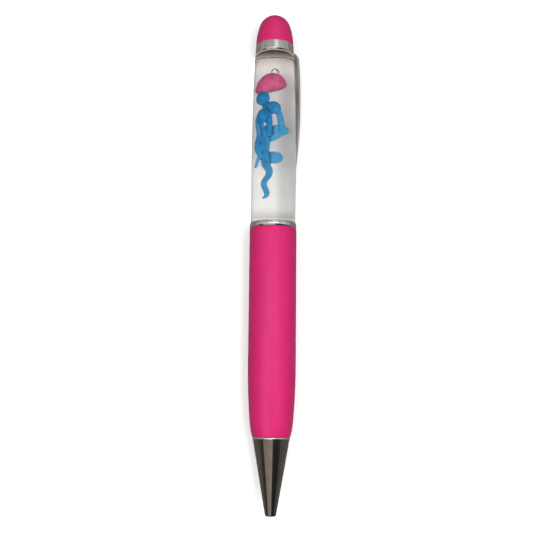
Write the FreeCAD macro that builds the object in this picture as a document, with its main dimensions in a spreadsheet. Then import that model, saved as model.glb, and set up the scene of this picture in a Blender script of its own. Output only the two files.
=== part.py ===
import FreeCAD, Part
import math
import os
import re

import Sketcher

# A floating-action twist pen. Its upper half is a clear acrylic chamber full of oil, in which a soft
# jellyfish figure drifts, closed by a domed cap and a chrome band with a pocket clip. Its lower half is
# a lacquered brass barrel with a chrome nib. Turning the barrel drives the refill out of the nib.
#
# Every piece is modelled about the pen's own axis, Z, from the open end of the nib at zero up to the
# top of the cap. The finished pen is then laid on its side, with the cap towards +Y and the clip down
# to the +X side, where it stops the pen rolling. Sizes are in millimetres.

SIZES = {
    "Nib": {
        "nib_length": 20.1,
        "nib_end_radius": 1.5,
        "nib_end_rounding": 0.35,
        "nib_top_radius": 4.95,
        "nib_hole_radius": 0.95,
        "nib_hole_length": 3.6,
        "nib_bore_radius": 1.35,
        "nib_hollow_radius": 2.9,
        "nib_hollow_start": 15.0,
        "bead_height": 0.7,
        "bead_radius": 5.1,
    },
    "Barrel": {
        "barrel_length": 56.4,
        "barrel_radius": 6.5,
        "barrel_end_radius": 5.25,
        "barrel_end_height": 4.8,
        "barrel_shoulder_radius": 5.95,
        "barrel_shoulder_height": 19.2,
        "barrel_wall": 0.55,
        "barrel_lip_radius": 4.45,
        "barrel_lip_height": 2.2,
        "bush_radius": 4.9,
        "bush_height": 9.5,
        "thread_radius": 3.9,
        "thread_length": 7.0,
        "bore_taper_height": 1.6,
        "sleeve_length": 19.0,
    },
    "Twist mechanism": {
        "turning_gap": 0.1,
        "end_gap": 0.2,
        "running_gap": 0.05,
        "cam_length": 8.5,
        "cam_radius": 3.9,
        "housing_radius": 2.8,
        "housing_bore": 2.2,
        "housing_lip": 0.5,
        "collar_radius": 3.6,
        "collar_height": 1.8,
        "travel": 4.2,
        "pin_radius": 0.5,
        "pin_depth": 2.0,
        "pin_end_gap": 0.2,
        "slot_end_room": 0.1,
        "helix_lead": 13.0,
        "plunger_head": 1.8,
        "plunger_neck": 1.6,
        "socket_depth": 5.5,
    },
    "Refill": {
        "retracted_depth": 0.9,
        "refill_radius": 1.175,
        "refill_bore": 0.95,
        "ball_radius": 0.35,
        "ball_gap": 0.02,
        "lip_radius": 0.42,
        "lip_height": 0.22,
        "point_radius": 0.8,
        "point_cone_height": 2.6,
        "point_length": 7.4,
        "point_shoulder": 1.0,
        "point_foot": 1.0,
        "point_plug": 2.6,
        "ink_way_radius": 0.22,
    },
    "Coupling": {
        "ring_height": 1.5,
        "ring_radius": 6.5,
        "ring_edge_radius": 6.3,
        "spigot_radius": 4.9,
        "spigot_length": 5.1,
        "spigot_bore": 3.6,
        "flange_height": 2.0,
        "drag_ring_thickness": 1.0,
        "drag_ring_groove": 0.97,
        "coupling_head_gap": 0.3,
        "housing_seat": 4.6,
    },
    "Chamber": {
        "tube_length": 49.1,
        "tube_base_radius": 6.2,
        "tube_middle_radius": 6.13,
        "tube_top_radius": 5.6,
        "floor_height": 0.5,
        "floor_thickness": 1.3,
        "chamber_radius": 4.3,
        "chamber_corner": 0.6,
        "neck_radius": 5.0,
        "neck_length": 2.7,
        "stopper_length": 1.7,
        "stopper_boss_radius": 3.45,
        "stopper_boss_height": 0.4,
        "stopper_reach": 0.3,
    },
    "Cap and band": {
        "band_height": 2.85,
        "band_base_radius": 5.5,
        "band_top_radius": 5.4,
        "cap_radius": 5.35,
        "cap_height": 9.25,
        "cap_nose_radius": 4.6,
        "cap_core_radius": 2.9,
        "cap_core_height": 5.0,
    },
    "Pocket clip": {
        "clip_thickness": 0.7,
        "clip_width": 4.2,
        "clip_end_width": 3.0,
        "clip_taper_start": 19.0,
        "clip_length": 37.8,
        "clip_tongue_drop": 1.1,
        "clip_bend_radius": 7.55,
        "clip_bend_drop": 3.5,
        "clip_arch_radius": 8.0,
        "clip_low_radius": 7.05,
        "clip_low_drop": 33.5,
        "clip_end_radius": 7.25,
        "clip_pinch": 0.22,
        "clip_fit": 0.05,
    },
    "Floating figure": {
        "float_gap": 0.35,
        "bell_drop": 9.5,
        "bell_offset": 0.62,
        "bell_tilt": 7.0,
        "bell_slant": 27.0,
        "bell_radius": 3.15,
        "bell_height": 4.7,
        "bell_bulge": 1.05,
        "bell_lift": 0.4,
        "rim_rounding": 0.35,
        "figure_length": 32.1,
    },
}

document = FreeCAD.newDocument("FloatingPen")
sheet = document.addObject("Spreadsheet::Sheet", "Sizes")
size = {}
row = 1
for heading, group in SIZES.items():
    sheet.set(f"A{row}", heading)
    row += 1
    for name, value in group.items():
        sheet.set(f"A{row}", name.replace("_", " "))
        sheet.set(f"B{row}", str(value))
        sheet.setAlias(f"B{row}", name)
        size[name] = value
        row += 1
document.recompute()

# Levels along the pen's axis, stacked from the nib's open end up to the top of the cap.
BEAD_BASE = "nib_length"
BARREL_BASE = BEAD_BASE + " + bead_height"
BARREL_TOP = BARREL_BASE + " + barrel_length"
RING_BASE = BARREL_TOP + " + turning_gap"
TUBE_BASE = RING_BASE + " + ring_height"
BAND_BASE = TUBE_BASE + " + tube_length"
CAP_BASE = BAND_BASE + " + band_height"
CAP_TOP = CAP_BASE + " + cap_height"

# Levels inside, counted down from the tube's shoulder through the twist mechanism.
SPIGOT_END = TUBE_BASE + " - spigot_length"
FLANGE_BASE = SPIGOT_END + " - flange_height"
CAM_TOP = FLANGE_BASE + " - end_gap"
CAM_BASE = CAM_TOP + " - cam_length"
COLLAR_TOP = CAM_BASE + " - end_gap"
COLLAR_BASE = COLLAR_TOP + " - collar_height"
HOUSING_BASE = COLLAR_BASE + " - housing_lip"
HOUSING_TOP = SPIGOT_END + " + housing_seat"
FLOOR_BASE = TUBE_BASE + " + floor_height"
CHAMBER_BASE = FLOOR_BASE + " + floor_thickness"
CHAMBER_TOP = BAND_BASE + " - stopper_reach"
NECK_TOP = BAND_BASE + " + neck_length"
PIN_LEVEL = CAM_TOP + " - pin_depth"
REFILL_TOP = PIN_LEVEL + " - plunger_neck"
BALL_LEVEL = "retracted_depth + ball_radius"
POINT_END = "retracted_depth + point_length + point_shoulder + point_foot"

VERTEX_START = 1
VERTEX_END = 2
VERTEX_POINT = 1
ORIGIN = (-1, 1)


def bound(text):
    """Turns a sum of size names into an expression that reads the sheet's cells."""
    return re.sub(r"[a-z]+(?:_[a-z]+)*", lambda m: "Sizes." + m[0] if m[0] in size else m[0], text)


def number(text):
    """Works out a sum of size names."""
    return float(sheet.evalExpression(bound(text)))


def place(point):
    """Gives a vector for a point whose two coordinates are sums of size names."""
    return FreeCAD.Vector(number(point[0]), number(point[1]), 0)


def pin_down(sketch, geometry, vertex, point):
    """Holds a vertex at its distances from the sketch's origin, read from the sheet."""
    for kind, text in zip(("DistanceX", "DistanceY"), point):
        rule = Sketcher.Constraint(kind, *ORIGIN, geometry, vertex, number(text))
        index = sketch.addConstraint(rule)
        sketch.setExpression(f"Constraints[{index}]", bound(text))


def set_radius(sketch, geometry, text):
    """Holds a circle's radius to a sum of size names."""
    index = sketch.addConstraint(Sketcher.Constraint("Radius", geometry, number(text)))
    sketch.setExpression(f"Constraints[{index}]", bound(text))


def nearer_end(sketch, geometry, target):
    """Tells which end of a piece of a sketch lies at a point."""
    start = sketch.getPoint(geometry, VERTEX_START)
    end = sketch.getPoint(geometry, VERTEX_END)
    return VERTEX_START if start.distanceToPoint(target) < end.distanceToPoint(target) else VERTEX_END


def outline(sketch, *steps):
    """Draws a closed outline. Each step is a point, or a pair of points for an arc's middle and end."""
    ends = [step if isinstance(step[0], str) else step[1] for step in steps]
    joints = []
    for index, step in enumerate(steps):
        start, end = place(ends[index - 1]), place(ends[index])
        if isinstance(step[0], str):
            piece = sketch.addGeometry(Part.LineSegment(start, end))
        else:
            middle = place(step[0])
            piece = sketch.addGeometry(Part.Arc(start, middle, end))
            crest = sketch.addGeometry(Part.Point(middle), True)
            sketch.addConstraint(Sketcher.Constraint("PointOnObject", crest, VERTEX_POINT, piece))
            pin_down(sketch, crest, VERTEX_POINT, step[0])
        joints.append((piece, nearer_end(sketch, piece, start), nearer_end(sketch, piece, end)))
        pin_down(sketch, piece, joints[-1][2], ends[index])
    for (last, _, last_end), (piece, first_end, _) in zip([joints[-1]] + joints[:-1], joints):
        sketch.addConstraint(Sketcher.Constraint("Coincident", last, last_end, piece, first_end))


def round_hole(sketch, centre, radius):
    """Draws a circle."""
    normal = FreeCAD.Vector(0, 0, 1)
    circle = sketch.addGeometry(Part.Circle(place(centre), normal, number(radius)))
    pin_down(sketch, circle, 3, centre)
    set_radius(sketch, circle, radius)


def new_body(label):
    """Makes the body that holds one piece of the pen."""
    body = document.addObject("PartDesign::Body", label)
    body.Label = label
    return body


def new_sketch(body, name, role="XZ_Plane"):
    """Makes a sketch on one of a body's own planes."""
    sketch = body.newObject("Sketcher::SketchObject", name)
    plane = next(item for item in body.Origin.OriginFeatures if item.Role == role)
    sketch.AttachmentSupport = [(plane, "")]
    sketch.MapMode = "FlatFace"
    return sketch


def turned(label, *steps):
    """Makes a piece by turning a half section about the pen's axis."""
    body = new_body(label)
    section = new_sketch(body, "HalfSection")
    outline(section, *steps)
    turn = body.newObject("PartDesign::Revolution", "Turned")
    turn.Profile = section
    turn.ReferenceAxis = (section, ["V_Axis"])
    turn.Angle = 360
    document.recompute()
    return body


def cut_through(body, sketch, name):
    """Cuts a sketch's outline out of the whole body, both ways from its plane."""
    before = body.Shape.Volume
    cut = body.newObject("PartDesign::Pocket", name)
    cut.Profile = sketch
    cut.Type = "ThroughAll"
    cut.SideType = "Symmetric"
    document.recompute()
    if body.Shape.Volume >= before:
        raise ValueError(f"{name} cut nothing out of {body.Label}")


def make_nib_cone():
    """Chrome nib: a straight cone with a rolled bead at its top, a threaded spigot and a stepped bore."""
    spigot_top = BARREL_BASE + " + barrel_lip_height + thread_length"
    return turned(
        "nib_cone",
        ("nib_hole_radius", "0"),
        ("nib_end_radius - nib_end_rounding", "0"),
        (
            ("nib_end_radius - 0.3 * nib_end_rounding", "0.3 * nib_end_rounding"),
            ("nib_end_radius + 0.02", "nib_end_rounding"),
        ),
        ("nib_top_radius", BEAD_BASE),
        (("bead_radius", BEAD_BASE + " + bead_height / 2"), ("nib_top_radius", BARREL_BASE)),
        ("barrel_lip_radius", BARREL_BASE),
        ("barrel_lip_radius", BARREL_BASE + " + barrel_lip_height"),
        ("thread_radius", BARREL_BASE + " + barrel_lip_height"),
        ("thread_radius", spigot_top),
        ("nib_hollow_radius", spigot_top),
        ("nib_hollow_radius", "nib_hollow_start"),
        ("nib_bore_radius", "nib_hollow_start"),
        ("nib_bore_radius", "nib_hole_length + nib_bore_radius - nib_hole_radius"),
        ("nib_hole_radius", "nib_hole_length"),
    )


def make_lower_barrel():
    """Lacquered brass barrel: parallel above, drawn in over a soft shoulder to the nib."""
    end_level = BARREL_BASE + " + barrel_end_height"
    shoulder_level = BARREL_BASE + " + barrel_shoulder_height"
    taper_top = BARREL_BASE + " + barrel_lip_height + bush_height + bore_taper_height"
    return turned(
        "lower_barrel",
        ("barrel_lip_radius", BARREL_BASE),
        ("barrel_end_radius", BARREL_BASE),
        (
            (
                "(barrel_end_radius + barrel_shoulder_radius) / 2 + 0.1",
                BARREL_BASE + " + barrel_end_height / 2",
            ),
            ("barrel_shoulder_radius", end_level),
        ),
        (
            (
                "0.25 * barrel_shoulder_radius + 0.75 * barrel_radius",
                BARREL_BASE + " + (barrel_end_height + barrel_shoulder_height) / 2",
            ),
            ("barrel_radius", shoulder_level),
        ),
        ("barrel_radius", BARREL_TOP),
        ("barrel_radius - barrel_wall", BARREL_TOP),
        ("barrel_radius - barrel_wall", taper_top),
        ("bush_radius", BARREL_BASE + " + barrel_lip_height + bush_height"),
        ("bush_radius", BARREL_BASE + " + barrel_lip_height"),
        ("barrel_lip_radius", BARREL_BASE + " + barrel_lip_height"),
    )


def make_nib_bush():
    """Threaded brass bush, pressed into the barrel's lower end, into which the nib screws."""
    base = BARREL_BASE + " + barrel_lip_height"
    return turned(
        "nib_bush",
        ("thread_radius", base),
        ("bush_radius", base),
        ("bush_radius", base + " + bush_height"),
        ("thread_radius", base + " + bush_height"),
    )


def make_drive_sleeve():
    """Moulded liner that carries the cam in the barrel and runs on the chamber's spigot."""
    top = BARREL_TOP + " - end_gap"
    return turned(
        "drive_sleeve",
        ("cam_radius", FLANGE_BASE + " - end_gap / 2 - sleeve_length + " + "spigot_length"),
        ("barrel_radius - barrel_wall", FLANGE_BASE + " - end_gap / 2 - sleeve_length + spigot_length"),
        ("barrel_radius - barrel_wall", top),
        ("spigot_radius + running_gap", top),
        ("spigot_radius + running_gap", FLANGE_BASE + " - end_gap / 2"),
        ("cam_radius", FLANGE_BASE + " - end_gap / 2"),
    )


def make_cam_sleeve():
    """Brass cam: two helical slots, half a turn each, that draw the pin along as the barrel turns."""
    body = turned(
        "cam_sleeve",
        ("housing_radius + running_gap", CAM_BASE),
        ("cam_radius", CAM_BASE),
        ("cam_radius", CAM_TOP),
        ("housing_radius + running_gap", CAM_TOP),
    )
    pitch = "2 * travel"
    slope = "2 * travel / (2 * pi * (housing_radius + running_gap))"
    half_height = f"pin_radius * sqrt(1 + ({slope})^2) + running_gap"
    start = PIN_LEVEL + " - travel - travel * helix_lead / 180"
    slot = new_sketch(body, "SlotSection")
    outline(
        slot,
        ("housing_radius - pin_radius", f"{start} - ({half_height})"),
        ("cam_radius + pin_radius", f"{start} - ({half_height})"),
        ("cam_radius + pin_radius", f"{start} + ({half_height})"),
        ("housing_radius - pin_radius", f"{start} + ({half_height})"),
    )
    turn_back = FreeCAD.Rotation(FreeCAD.Vector(0, 1, 0), -size["helix_lead"])
    slot.AttachmentOffset = FreeCAD.Placement(FreeCAD.Vector(), turn_back)
    document.recompute()
    before = body.Shape.Volume
    helix = body.newObject("PartDesign::SubtractiveHelix", "HelicalSlot")
    helix.Profile = slot
    helix.ReferenceAxis = (slot, ["V_Axis"])
    helix.Mode = 0
    helix.setExpression("Pitch", bound(pitch))
    helix.setExpression("Height", bound("travel * (180 + 2 * helix_lead) / 180"))
    document.recompute()
    pair = body.newObject("PartDesign::PolarPattern", "PairOfSlots")
    pair.Originals = [helix]
    pair.Axis = (slot, ["V_Axis"])
    pair.Angle = 360
    pair.Occurrences = 2
    body.Tip = pair
    document.recompute()
    if body.Shape.Volume >= before:
        raise ValueError("the helical slots cut nothing")
    return body


def make_mechanism_housing():
    """Brass guide tube, pressed into the coupling, with a straight slot through both its walls."""
    body = turned(
        "mechanism_housing",
        ("housing_bore", HOUSING_BASE),
        ("housing_radius", HOUSING_BASE),
        ("housing_radius", HOUSING_TOP),
        ("housing_bore", HOUSING_TOP),
    )
    half_width = "pin_radius + running_gap"
    low = PIN_LEVEL + " - travel - slot_end_room"
    high = PIN_LEVEL + " + slot_end_room"
    slot = new_sketch(body, "StraightSlot", "YZ_Plane")
    outline(
        slot,
        (f"-({half_width})", low),
        (("0", f"{low} - ({half_width})"), (half_width, low)),
        (half_width, high),
        (("0", f"{high} + {half_width}"), (f"-({half_width})", high)),
    )
    cut_through(body, slot, "SlotThroughBothWalls")
    return body


def make_retaining_collar():
    """Brass collar, pressed on the housing's lower end, that keeps the cam from sliding off."""
    return turned(
        "retaining_collar",
        ("housing_radius", COLLAR_BASE),
        ("collar_radius", COLLAR_BASE),
        ("collar_radius", COLLAR_TOP),
        ("housing_radius", COLLAR_TOP),
    )


def make_refill_plunger():
    """Acetal plunger: it slides in the housing, carries the cross pin and grips the refill's end."""
    body = turned(
        "refill_plunger",
        ("refill_radius", REFILL_TOP + " - socket_depth"),
        ("housing_bore - running_gap", REFILL_TOP + " - socket_depth"),
        ("housing_bore - running_gap", PIN_LEVEL + " + plunger_head"),
        ("0", PIN_LEVEL + " + plunger_head"),
        ("0", REFILL_TOP),
        ("refill_radius", REFILL_TOP),
    )
    hole = new_sketch(body, "PinHole", "YZ_Plane")
    round_hole(hole, ("0", PIN_LEVEL), "pin_radius")
    cut_through(body, hole, "CrossHole")
    return body


def make_drive_pin():
    """Steel cross pin: it joins the plunger to the straight and the helical slots."""
    body = new_body("drive_pin")
    section = new_sketch(body, "PinSection", "YZ_Plane")
    round_hole(section, ("0", PIN_LEVEL), "pin_radius")
    pad = body.newObject("PartDesign::Pad", "PinLength")
    pad.Profile = section
    pad.SideType = "Symmetric"
    pad.setExpression("Length", bound("2 * (cam_radius - pin_end_gap)"))
    document.recompute()
    return body


def make_refill_tube():
    """Metal ink tube of the refill, from the point's foot up into the plunger."""
    return turned(
        "refill_tube",
        ("refill_bore", POINT_END),
        ("refill_radius", POINT_END),
        ("refill_radius", REFILL_TOP),
        ("refill_bore", REFILL_TOP),
    )


def make_refill_point():
    """Brass writing point: a cone and neck with a socket for the ball and a plug in the ink tube."""
    seat_radius = "ball_radius + ball_gap"
    mouth = "retracted_depth + lip_height"
    mouth_radius = f"sqrt(({seat_radius})^2 - (ball_radius - lip_height)^2)"
    seat_top = f"{BALL_LEVEL} + sqrt(({seat_radius})^2 - ink_way_radius^2)"
    return turned(
        "refill_point",
        ((seat_radius, BALL_LEVEL), (mouth_radius, mouth)),
        ("lip_radius", mouth),
        ("point_radius", "retracted_depth + point_cone_height"),
        ("point_radius", "retracted_depth + point_length"),
        ("refill_radius", "retracted_depth + point_length + point_shoulder"),
        ("refill_radius", POINT_END),
        ("refill_bore", POINT_END),
        ("refill_bore", POINT_END + " + point_plug"),
        ("ink_way_radius", POINT_END + " + point_plug"),
        ("ink_way_radius", seat_top),
    )


def make_writing_ball():
    """Tungsten carbide ball that rolls in the point's socket."""
    return turned(
        "writing_ball",
        ("0", "retracted_depth"),
        (("ball_radius", BALL_LEVEL), ("0", "retracted_depth + 2 * ball_radius")),
    )


def make_tube_coupling():
    """Brass coupling in the chamber's spigot: it holds the housing and has a groove for the drag ring."""
    groove = "spigot_radius - drag_ring_groove"
    middle = FLANGE_BASE + " + flange_height / 2"
    head = FLOOR_BASE + " - coupling_head_gap"
    return turned(
        "tube_coupling",
        ("housing_radius", FLANGE_BASE),
        ("spigot_radius", FLANGE_BASE),
        ("spigot_radius", middle + " - drag_ring_thickness / 2"),
        (groove, middle + " - drag_ring_thickness / 2"),
        (groove, middle + " + drag_ring_thickness / 2"),
        ("spigot_radius", middle + " + drag_ring_thickness / 2"),
        ("spigot_radius", SPIGOT_END),
        ("spigot_bore", SPIGOT_END),
        ("spigot_bore", head),
        ("housing_radius", head),
    )


def make_drag_ring():
    """Rubber ring, square cut, in the coupling's groove: its rub on the sleeve holds the barrel where it is turned."""
    inner = "spigot_radius - drag_ring_groove"
    low = FLANGE_BASE + " + flange_height / 2 - drag_ring_thickness / 2"
    return turned(
        "drag_ring",
        (inner, low),
        (f"{inner} + drag_ring_thickness", low),
        (f"{inner} + drag_ring_thickness", f"{low} + drag_ring_thickness"),
        (inner, f"{low} + drag_ring_thickness"),
    )


def make_centre_ring():
    """Chrome ring on the spigot, between the chamber's shoulder and the barrel."""
    return turned(
        "centre_ring",
        ("spigot_radius", RING_BASE),
        ("ring_edge_radius", RING_BASE),
        (("ring_radius", RING_BASE + " + ring_height / 2"), ("ring_edge_radius", TUBE_BASE)),
        ("spigot_radius", TUBE_BASE),
    )


def make_clear_tube():
    """Acrylic chamber tube: barrelled outside, closed by its own floor, with a neck and a hollow spigot."""
    return turned(
        "clear_tube",
        ("spigot_bore", SPIGOT_END),
        ("spigot_radius", SPIGOT_END),
        ("spigot_radius", TUBE_BASE),
        ("tube_base_radius", TUBE_BASE),
        (
            ("tube_middle_radius", TUBE_BASE + " + tube_length / 2"),
            ("tube_top_radius", BAND_BASE),
        ),
        ("neck_radius", BAND_BASE),
        ("neck_radius", NECK_TOP),
        ("chamber_radius", NECK_TOP),
        ("chamber_radius", CHAMBER_BASE + " + chamber_corner"),
        ("chamber_radius - chamber_corner", CHAMBER_BASE),
        ("0", CHAMBER_BASE),
        ("0", FLOOR_BASE),
        ("spigot_bore", FLOOR_BASE),
    )


def make_chamber_stopper():
    """Rubber stopper that seals the oil in the chamber's neck, with a shallow boss below."""
    return turned(
        "chamber_stopper",
        ("0", CHAMBER_TOP),
        ("stopper_boss_radius", CHAMBER_TOP),
        ("stopper_boss_radius", CHAMBER_TOP + " + stopper_boss_height"),
        ("chamber_radius", CHAMBER_TOP + " + stopper_boss_height"),
        ("chamber_radius", CHAMBER_TOP + " + stopper_length"),
        ("0", CHAMBER_TOP + " + stopper_length"),
    )


def make_dome_cap():
    """Moulded cap: a tall dome of two tangent arcs, cored out, with a spigot glued in the neck."""
    side_radius = (
        "(cap_radius^2 + (cap_height - cap_nose_radius)^2 - cap_nose_radius^2)"
        " / (2 * (cap_radius - cap_nose_radius))"
    )
    # The side arc's centre lies level with the cap's base, the nose arc's on the axis, and the arcs
    # meet on the line through both. The angle is that line's slope above the base.
    slope = f"atan((cap_height - cap_nose_radius) / ({side_radius} - cap_radius))"
    meeting = (
        f"{side_radius} * cos({slope}) - ({side_radius} - cap_radius)",
        f"{CAP_BASE} + {side_radius} * sin({slope})",
    )
    side_middle = (
        f"{side_radius} * cos({slope} / 2) - ({side_radius} - cap_radius)",
        f"{CAP_BASE} + {side_radius} * sin({slope} / 2)",
    )
    nose_middle = (
        f"cap_nose_radius * cos(45 deg + {slope} / 2)",
        f"{CAP_TOP} - cap_nose_radius + cap_nose_radius * sin(45 deg + {slope} / 2)",
    )
    stopper_top = CHAMBER_TOP + " + stopper_length"
    return turned(
        "dome_cap",
        ("cap_core_radius", stopper_top),
        ("chamber_radius", stopper_top),
        ("chamber_radius", NECK_TOP),
        ("neck_radius", NECK_TOP),
        ("neck_radius", CAP_BASE),
        ("cap_radius", CAP_BASE),
        (side_middle, meeting),
        (nose_middle, ("0", CAP_TOP)),
        ("0", CAP_BASE + " + cap_core_height"),
        ("cap_core_radius", CAP_BASE + " + cap_core_height"),
    )


def make_clip_band():
    """Chrome band round the neck, with a window on its +X side for the clip's tongue."""
    body = turned(
        "clip_band",
        ("neck_radius", BAND_BASE),
        ("band_base_radius", BAND_BASE),
        ("band_top_radius", CAP_BASE),
        ("neck_radius", CAP_BASE),
    )
    half_width = "clip_width / 2 + clip_fit"
    top = CAP_BASE + " - clip_tongue_drop + clip_fit"
    bottom = CAP_BASE + " - clip_tongue_drop - clip_thickness - clip_fit"
    window = new_sketch(body, "TongueWindow", "YZ_Plane")
    outline(
        window,
        (f"-({half_width})", bottom),
        (half_width, bottom),
        (half_width, top),
        (f"-({half_width})", top),
    )
    before = body.Shape.Volume
    cut = body.newObject("PartDesign::Pocket", "Window")
    cut.Profile = window
    cut.Reversed = True
    cut.setExpression("Length", bound("2 * band_base_radius"))
    document.recompute()
    if body.Shape.Volume >= before:
        raise ValueError("the band's window cut nothing")
    return body


def make_pocket_clip():
    """Sprung steel clip: a tongue in the band, a shoulder, a long arch and an end pinched to the tube."""
    body = new_body("pocket_clip")
    side = new_sketch(body, "SideView")
    tongue_top = CAP_BASE + " - clip_tongue_drop"
    tongue_base = tongue_top + " - clip_thickness"
    bend_level = CAP_BASE + " - clip_bend_drop"
    low_level = CAP_BASE + " - clip_low_drop"
    tip_level = BAND_BASE + " - clip_length"
    arch_level = CAP_BASE + " - (clip_bend_drop + clip_low_drop) / 2"
    pinch_level = f"({low_level} + {tip_level}) / 2"
    outline(
        side,
        ("neck_radius + clip_fit", tongue_base),
        ("band_base_radius + 0.2", tongue_base),
        (
            ("band_base_radius + 0.85", tongue_base + " - 0.4"),
            ("clip_bend_radius - clip_thickness", bend_level),
        ),
        (
            ("clip_arch_radius - clip_thickness", arch_level),
            ("clip_low_radius - clip_thickness", low_level),
        ),
        (
            ("(clip_low_radius + clip_end_radius) / 2 - clip_thickness - clip_pinch", pinch_level),
            ("clip_end_radius - clip_thickness", tip_level),
        ),
        ("clip_end_radius", tip_level),
        (
            ("(clip_low_radius + clip_end_radius) / 2 - clip_pinch", pinch_level),
            ("clip_low_radius", low_level),
        ),
        (("clip_arch_radius", arch_level), ("clip_bend_radius", bend_level)),
        (
            ("clip_bend_radius - 0.55", tongue_top + " - 0.62"),
            ("band_base_radius + 0.3", tongue_top),
        ),
        ("neck_radius + clip_fit", tongue_top),
    )
    pad = body.newObject("PartDesign::Pad", "Strip")
    pad.Profile = side
    pad.SideType = "Symmetric"
    pad.setExpression("Length", bound("clip_width"))
    document.recompute()
    taper_level = BAND_BASE + " - clip_taper_start"
    end_round = "clip_end_width / 2"
    front = new_sketch(body, "FrontView", "YZ_Plane")
    outline(
        front,
        (f"-({end_round})", f"{tip_level} + {end_round}"),
        (("0", tip_level), (end_round, f"{tip_level} + {end_round}")),
        ("clip_width / 2", taper_level),
        ("clip_width", taper_level),
        ("clip_width", tip_level + " - clip_width"),
        ("-clip_width", tip_level + " - clip_width"),
        ("-clip_width", taper_level),
        ("-clip_width / 2", taper_level),
    )
    cut_through(body, front, "TaperedEnd")
    return body


def make_jelly_bell():
    """The figure's soft bell: a full crown, cut off below on a slant by a gently bulging underside."""
    # The crown is part of a ball centred on the axis, so that it closes smoothly at the top.
    shoulder, rise = "0.44 * bell_radius", "0.15 * bell_height"
    crown_radius = f"((({shoulder})^2 + ({rise})^2) / (2 * {rise}))"
    crown_half = f"asin({shoulder} / {crown_radius}) / 2"
    crown_middle = (
        f"{crown_radius} * sin({crown_half})",
        f"bell_height - {crown_radius} * (1 - cos({crown_half}))",
    )
    hem = "-bell_height / 2"
    body = turned(
        "jelly_bell",
        ("0", hem),
        ("bell_radius", hem),
        ("bell_radius", "0"),
        (("0.85 * bell_radius", "0.49 * bell_height"), (shoulder, f"bell_height - {rise}")),
        (crown_middle, ("0", "bell_height")),
    )
    under = new_sketch(body, "Underside")
    reach, floor = "1.1 * bell_radius", "-bell_height"
    outline(
        under,
        (
            ("bell_bulge * sin(bell_slant)", "bell_lift - bell_bulge * cos(bell_slant)"),
            (reach, f"bell_lift + {reach} * tan(bell_slant)"),
        ),
        (reach, floor),
        (f"-{reach}", floor),
        (f"-{reach}", f"bell_lift - {reach} * tan(bell_slant)"),
    )
    cut_through(body, under, "SlantedCut")
    slanted = body.Tip
    rim = body.newObject("PartDesign::Fillet", "RoundedRim")
    rim.Base = (slanted, edges_of_underside(slanted.Shape))
    rim.setExpression("Radius", bound("rim_rounding"))
    document.recompute()
    return body


def edges_of_underside(shape):
    """Names the edges round the bell's underside, the face that curves about a line across the bell."""
    curved = [face for face in shape.Faces if face.Surface.TypeId == "Part::GeomCylinder"]
    under = next(face for face in curved if abs(face.Surface.Axis.y) > 0.9)
    edges = enumerate(shape.Edges, start=1)
    return [f"Edge{number}" for number, edge in edges if any(edge.isSame(own) for own in under.Edges)]


def figure_point(across, depth, down):
    """Places a point of the figure: shares of its reach from the axis, and of its length below the bell."""
    reach = size["chamber_radius"] - size["float_gap"]
    base = number(CHAMBER_TOP) - size["bell_drop"]
    return FreeCAD.Vector(across * reach, -depth * reach, base - down * size["figure_length"])


def rounded_route(points):
    """Joins points by straight runs and tangent arcs, each as large as its two runs allow."""
    edges = []
    here = points[0]
    for before, corner, after in zip(points, points[1:], points[2:]):
        back, ahead = before - corner, after - corner
        half_turn = (math.pi - back.getAngle(ahead)) / 2
        reach = 0.45 * min(back.Length, ahead.Length)
        radius = reach / math.tan(half_turn)
        back.normalize()
        ahead.normalize()
        inward = back + ahead
        inward.normalize()
        start, end = corner + back * reach, corner + ahead * reach
        centre_distance = radius / math.cos(half_turn)
        middle = corner + inward * (centre_distance - radius)
        edges.append(Part.LineSegment(here, start).toShape())
        edges.append(Part.Arc(start, middle, end).toShape())
        here = end
    edges.append(Part.LineSegment(here, points[-1]).toShape())
    return Part.Wire(edges)


def limb(radius, shares, *free_ends):
    """Makes one soft arm: a round section carried along a rounded route, with a ball on each free end."""
    points = [figure_point(*share) for share in shares]
    route = rounded_route(points)
    section = Part.Face(Part.Wire(Part.makeCircle(radius, points[0], points[1] - points[0])))
    pieces = [route.makePipe(section)]
    expected = math.pi * radius**2 * route.Length
    if abs(pieces[0].Volume / expected - 1) > 0.02:
        raise ValueError("an arm's volume is not its section times its length")
    pieces += [Part.makeSphere(1.04 * radius, points[end]) for end in free_ends]
    return pieces


def lobe(radius, half_height, *share):
    """Makes a rounded swelling: an upright oval of revolution, of three arcs that meet tangent.

    Its half section, and so its seam, lies at the back, clear of the arms, which run sideways.
    """
    centre = figure_point(*share)
    nose = 0.66 * radius
    side = (radius**2 + (half_height - nose) ** 2 - nose**2) / (2 * (radius - nose))
    slope = math.atan2(half_height - nose, side - radius)
    crest = math.pi / 4 + slope / 2
    meeting = (side * math.cos(slope) - side + radius, side * math.sin(slope))
    nose_middle = (nose * math.cos(crest), half_height - nose + nose * math.sin(crest))

    def spot(across, up):
        return centre + FreeCAD.Vector(0, across, up)

    top, bottom = spot(0, half_height), spot(0, -half_height)
    high, low = spot(*meeting), spot(meeting[0], -meeting[1])
    edges = [
        Part.Arc(top, spot(*nose_middle), high).toShape(),
        Part.Arc(high, spot(radius, 0), low).toShape(),
        Part.Arc(low, spot(nose_middle[0], -nose_middle[1]), bottom).toShape(),
        Part.LineSegment(bottom, top).toShape(),
    ]
    return Part.Face(Part.Wire(edges)).revolve(centre, FreeCAD.Vector(0, 0, 1), 360)


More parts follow.
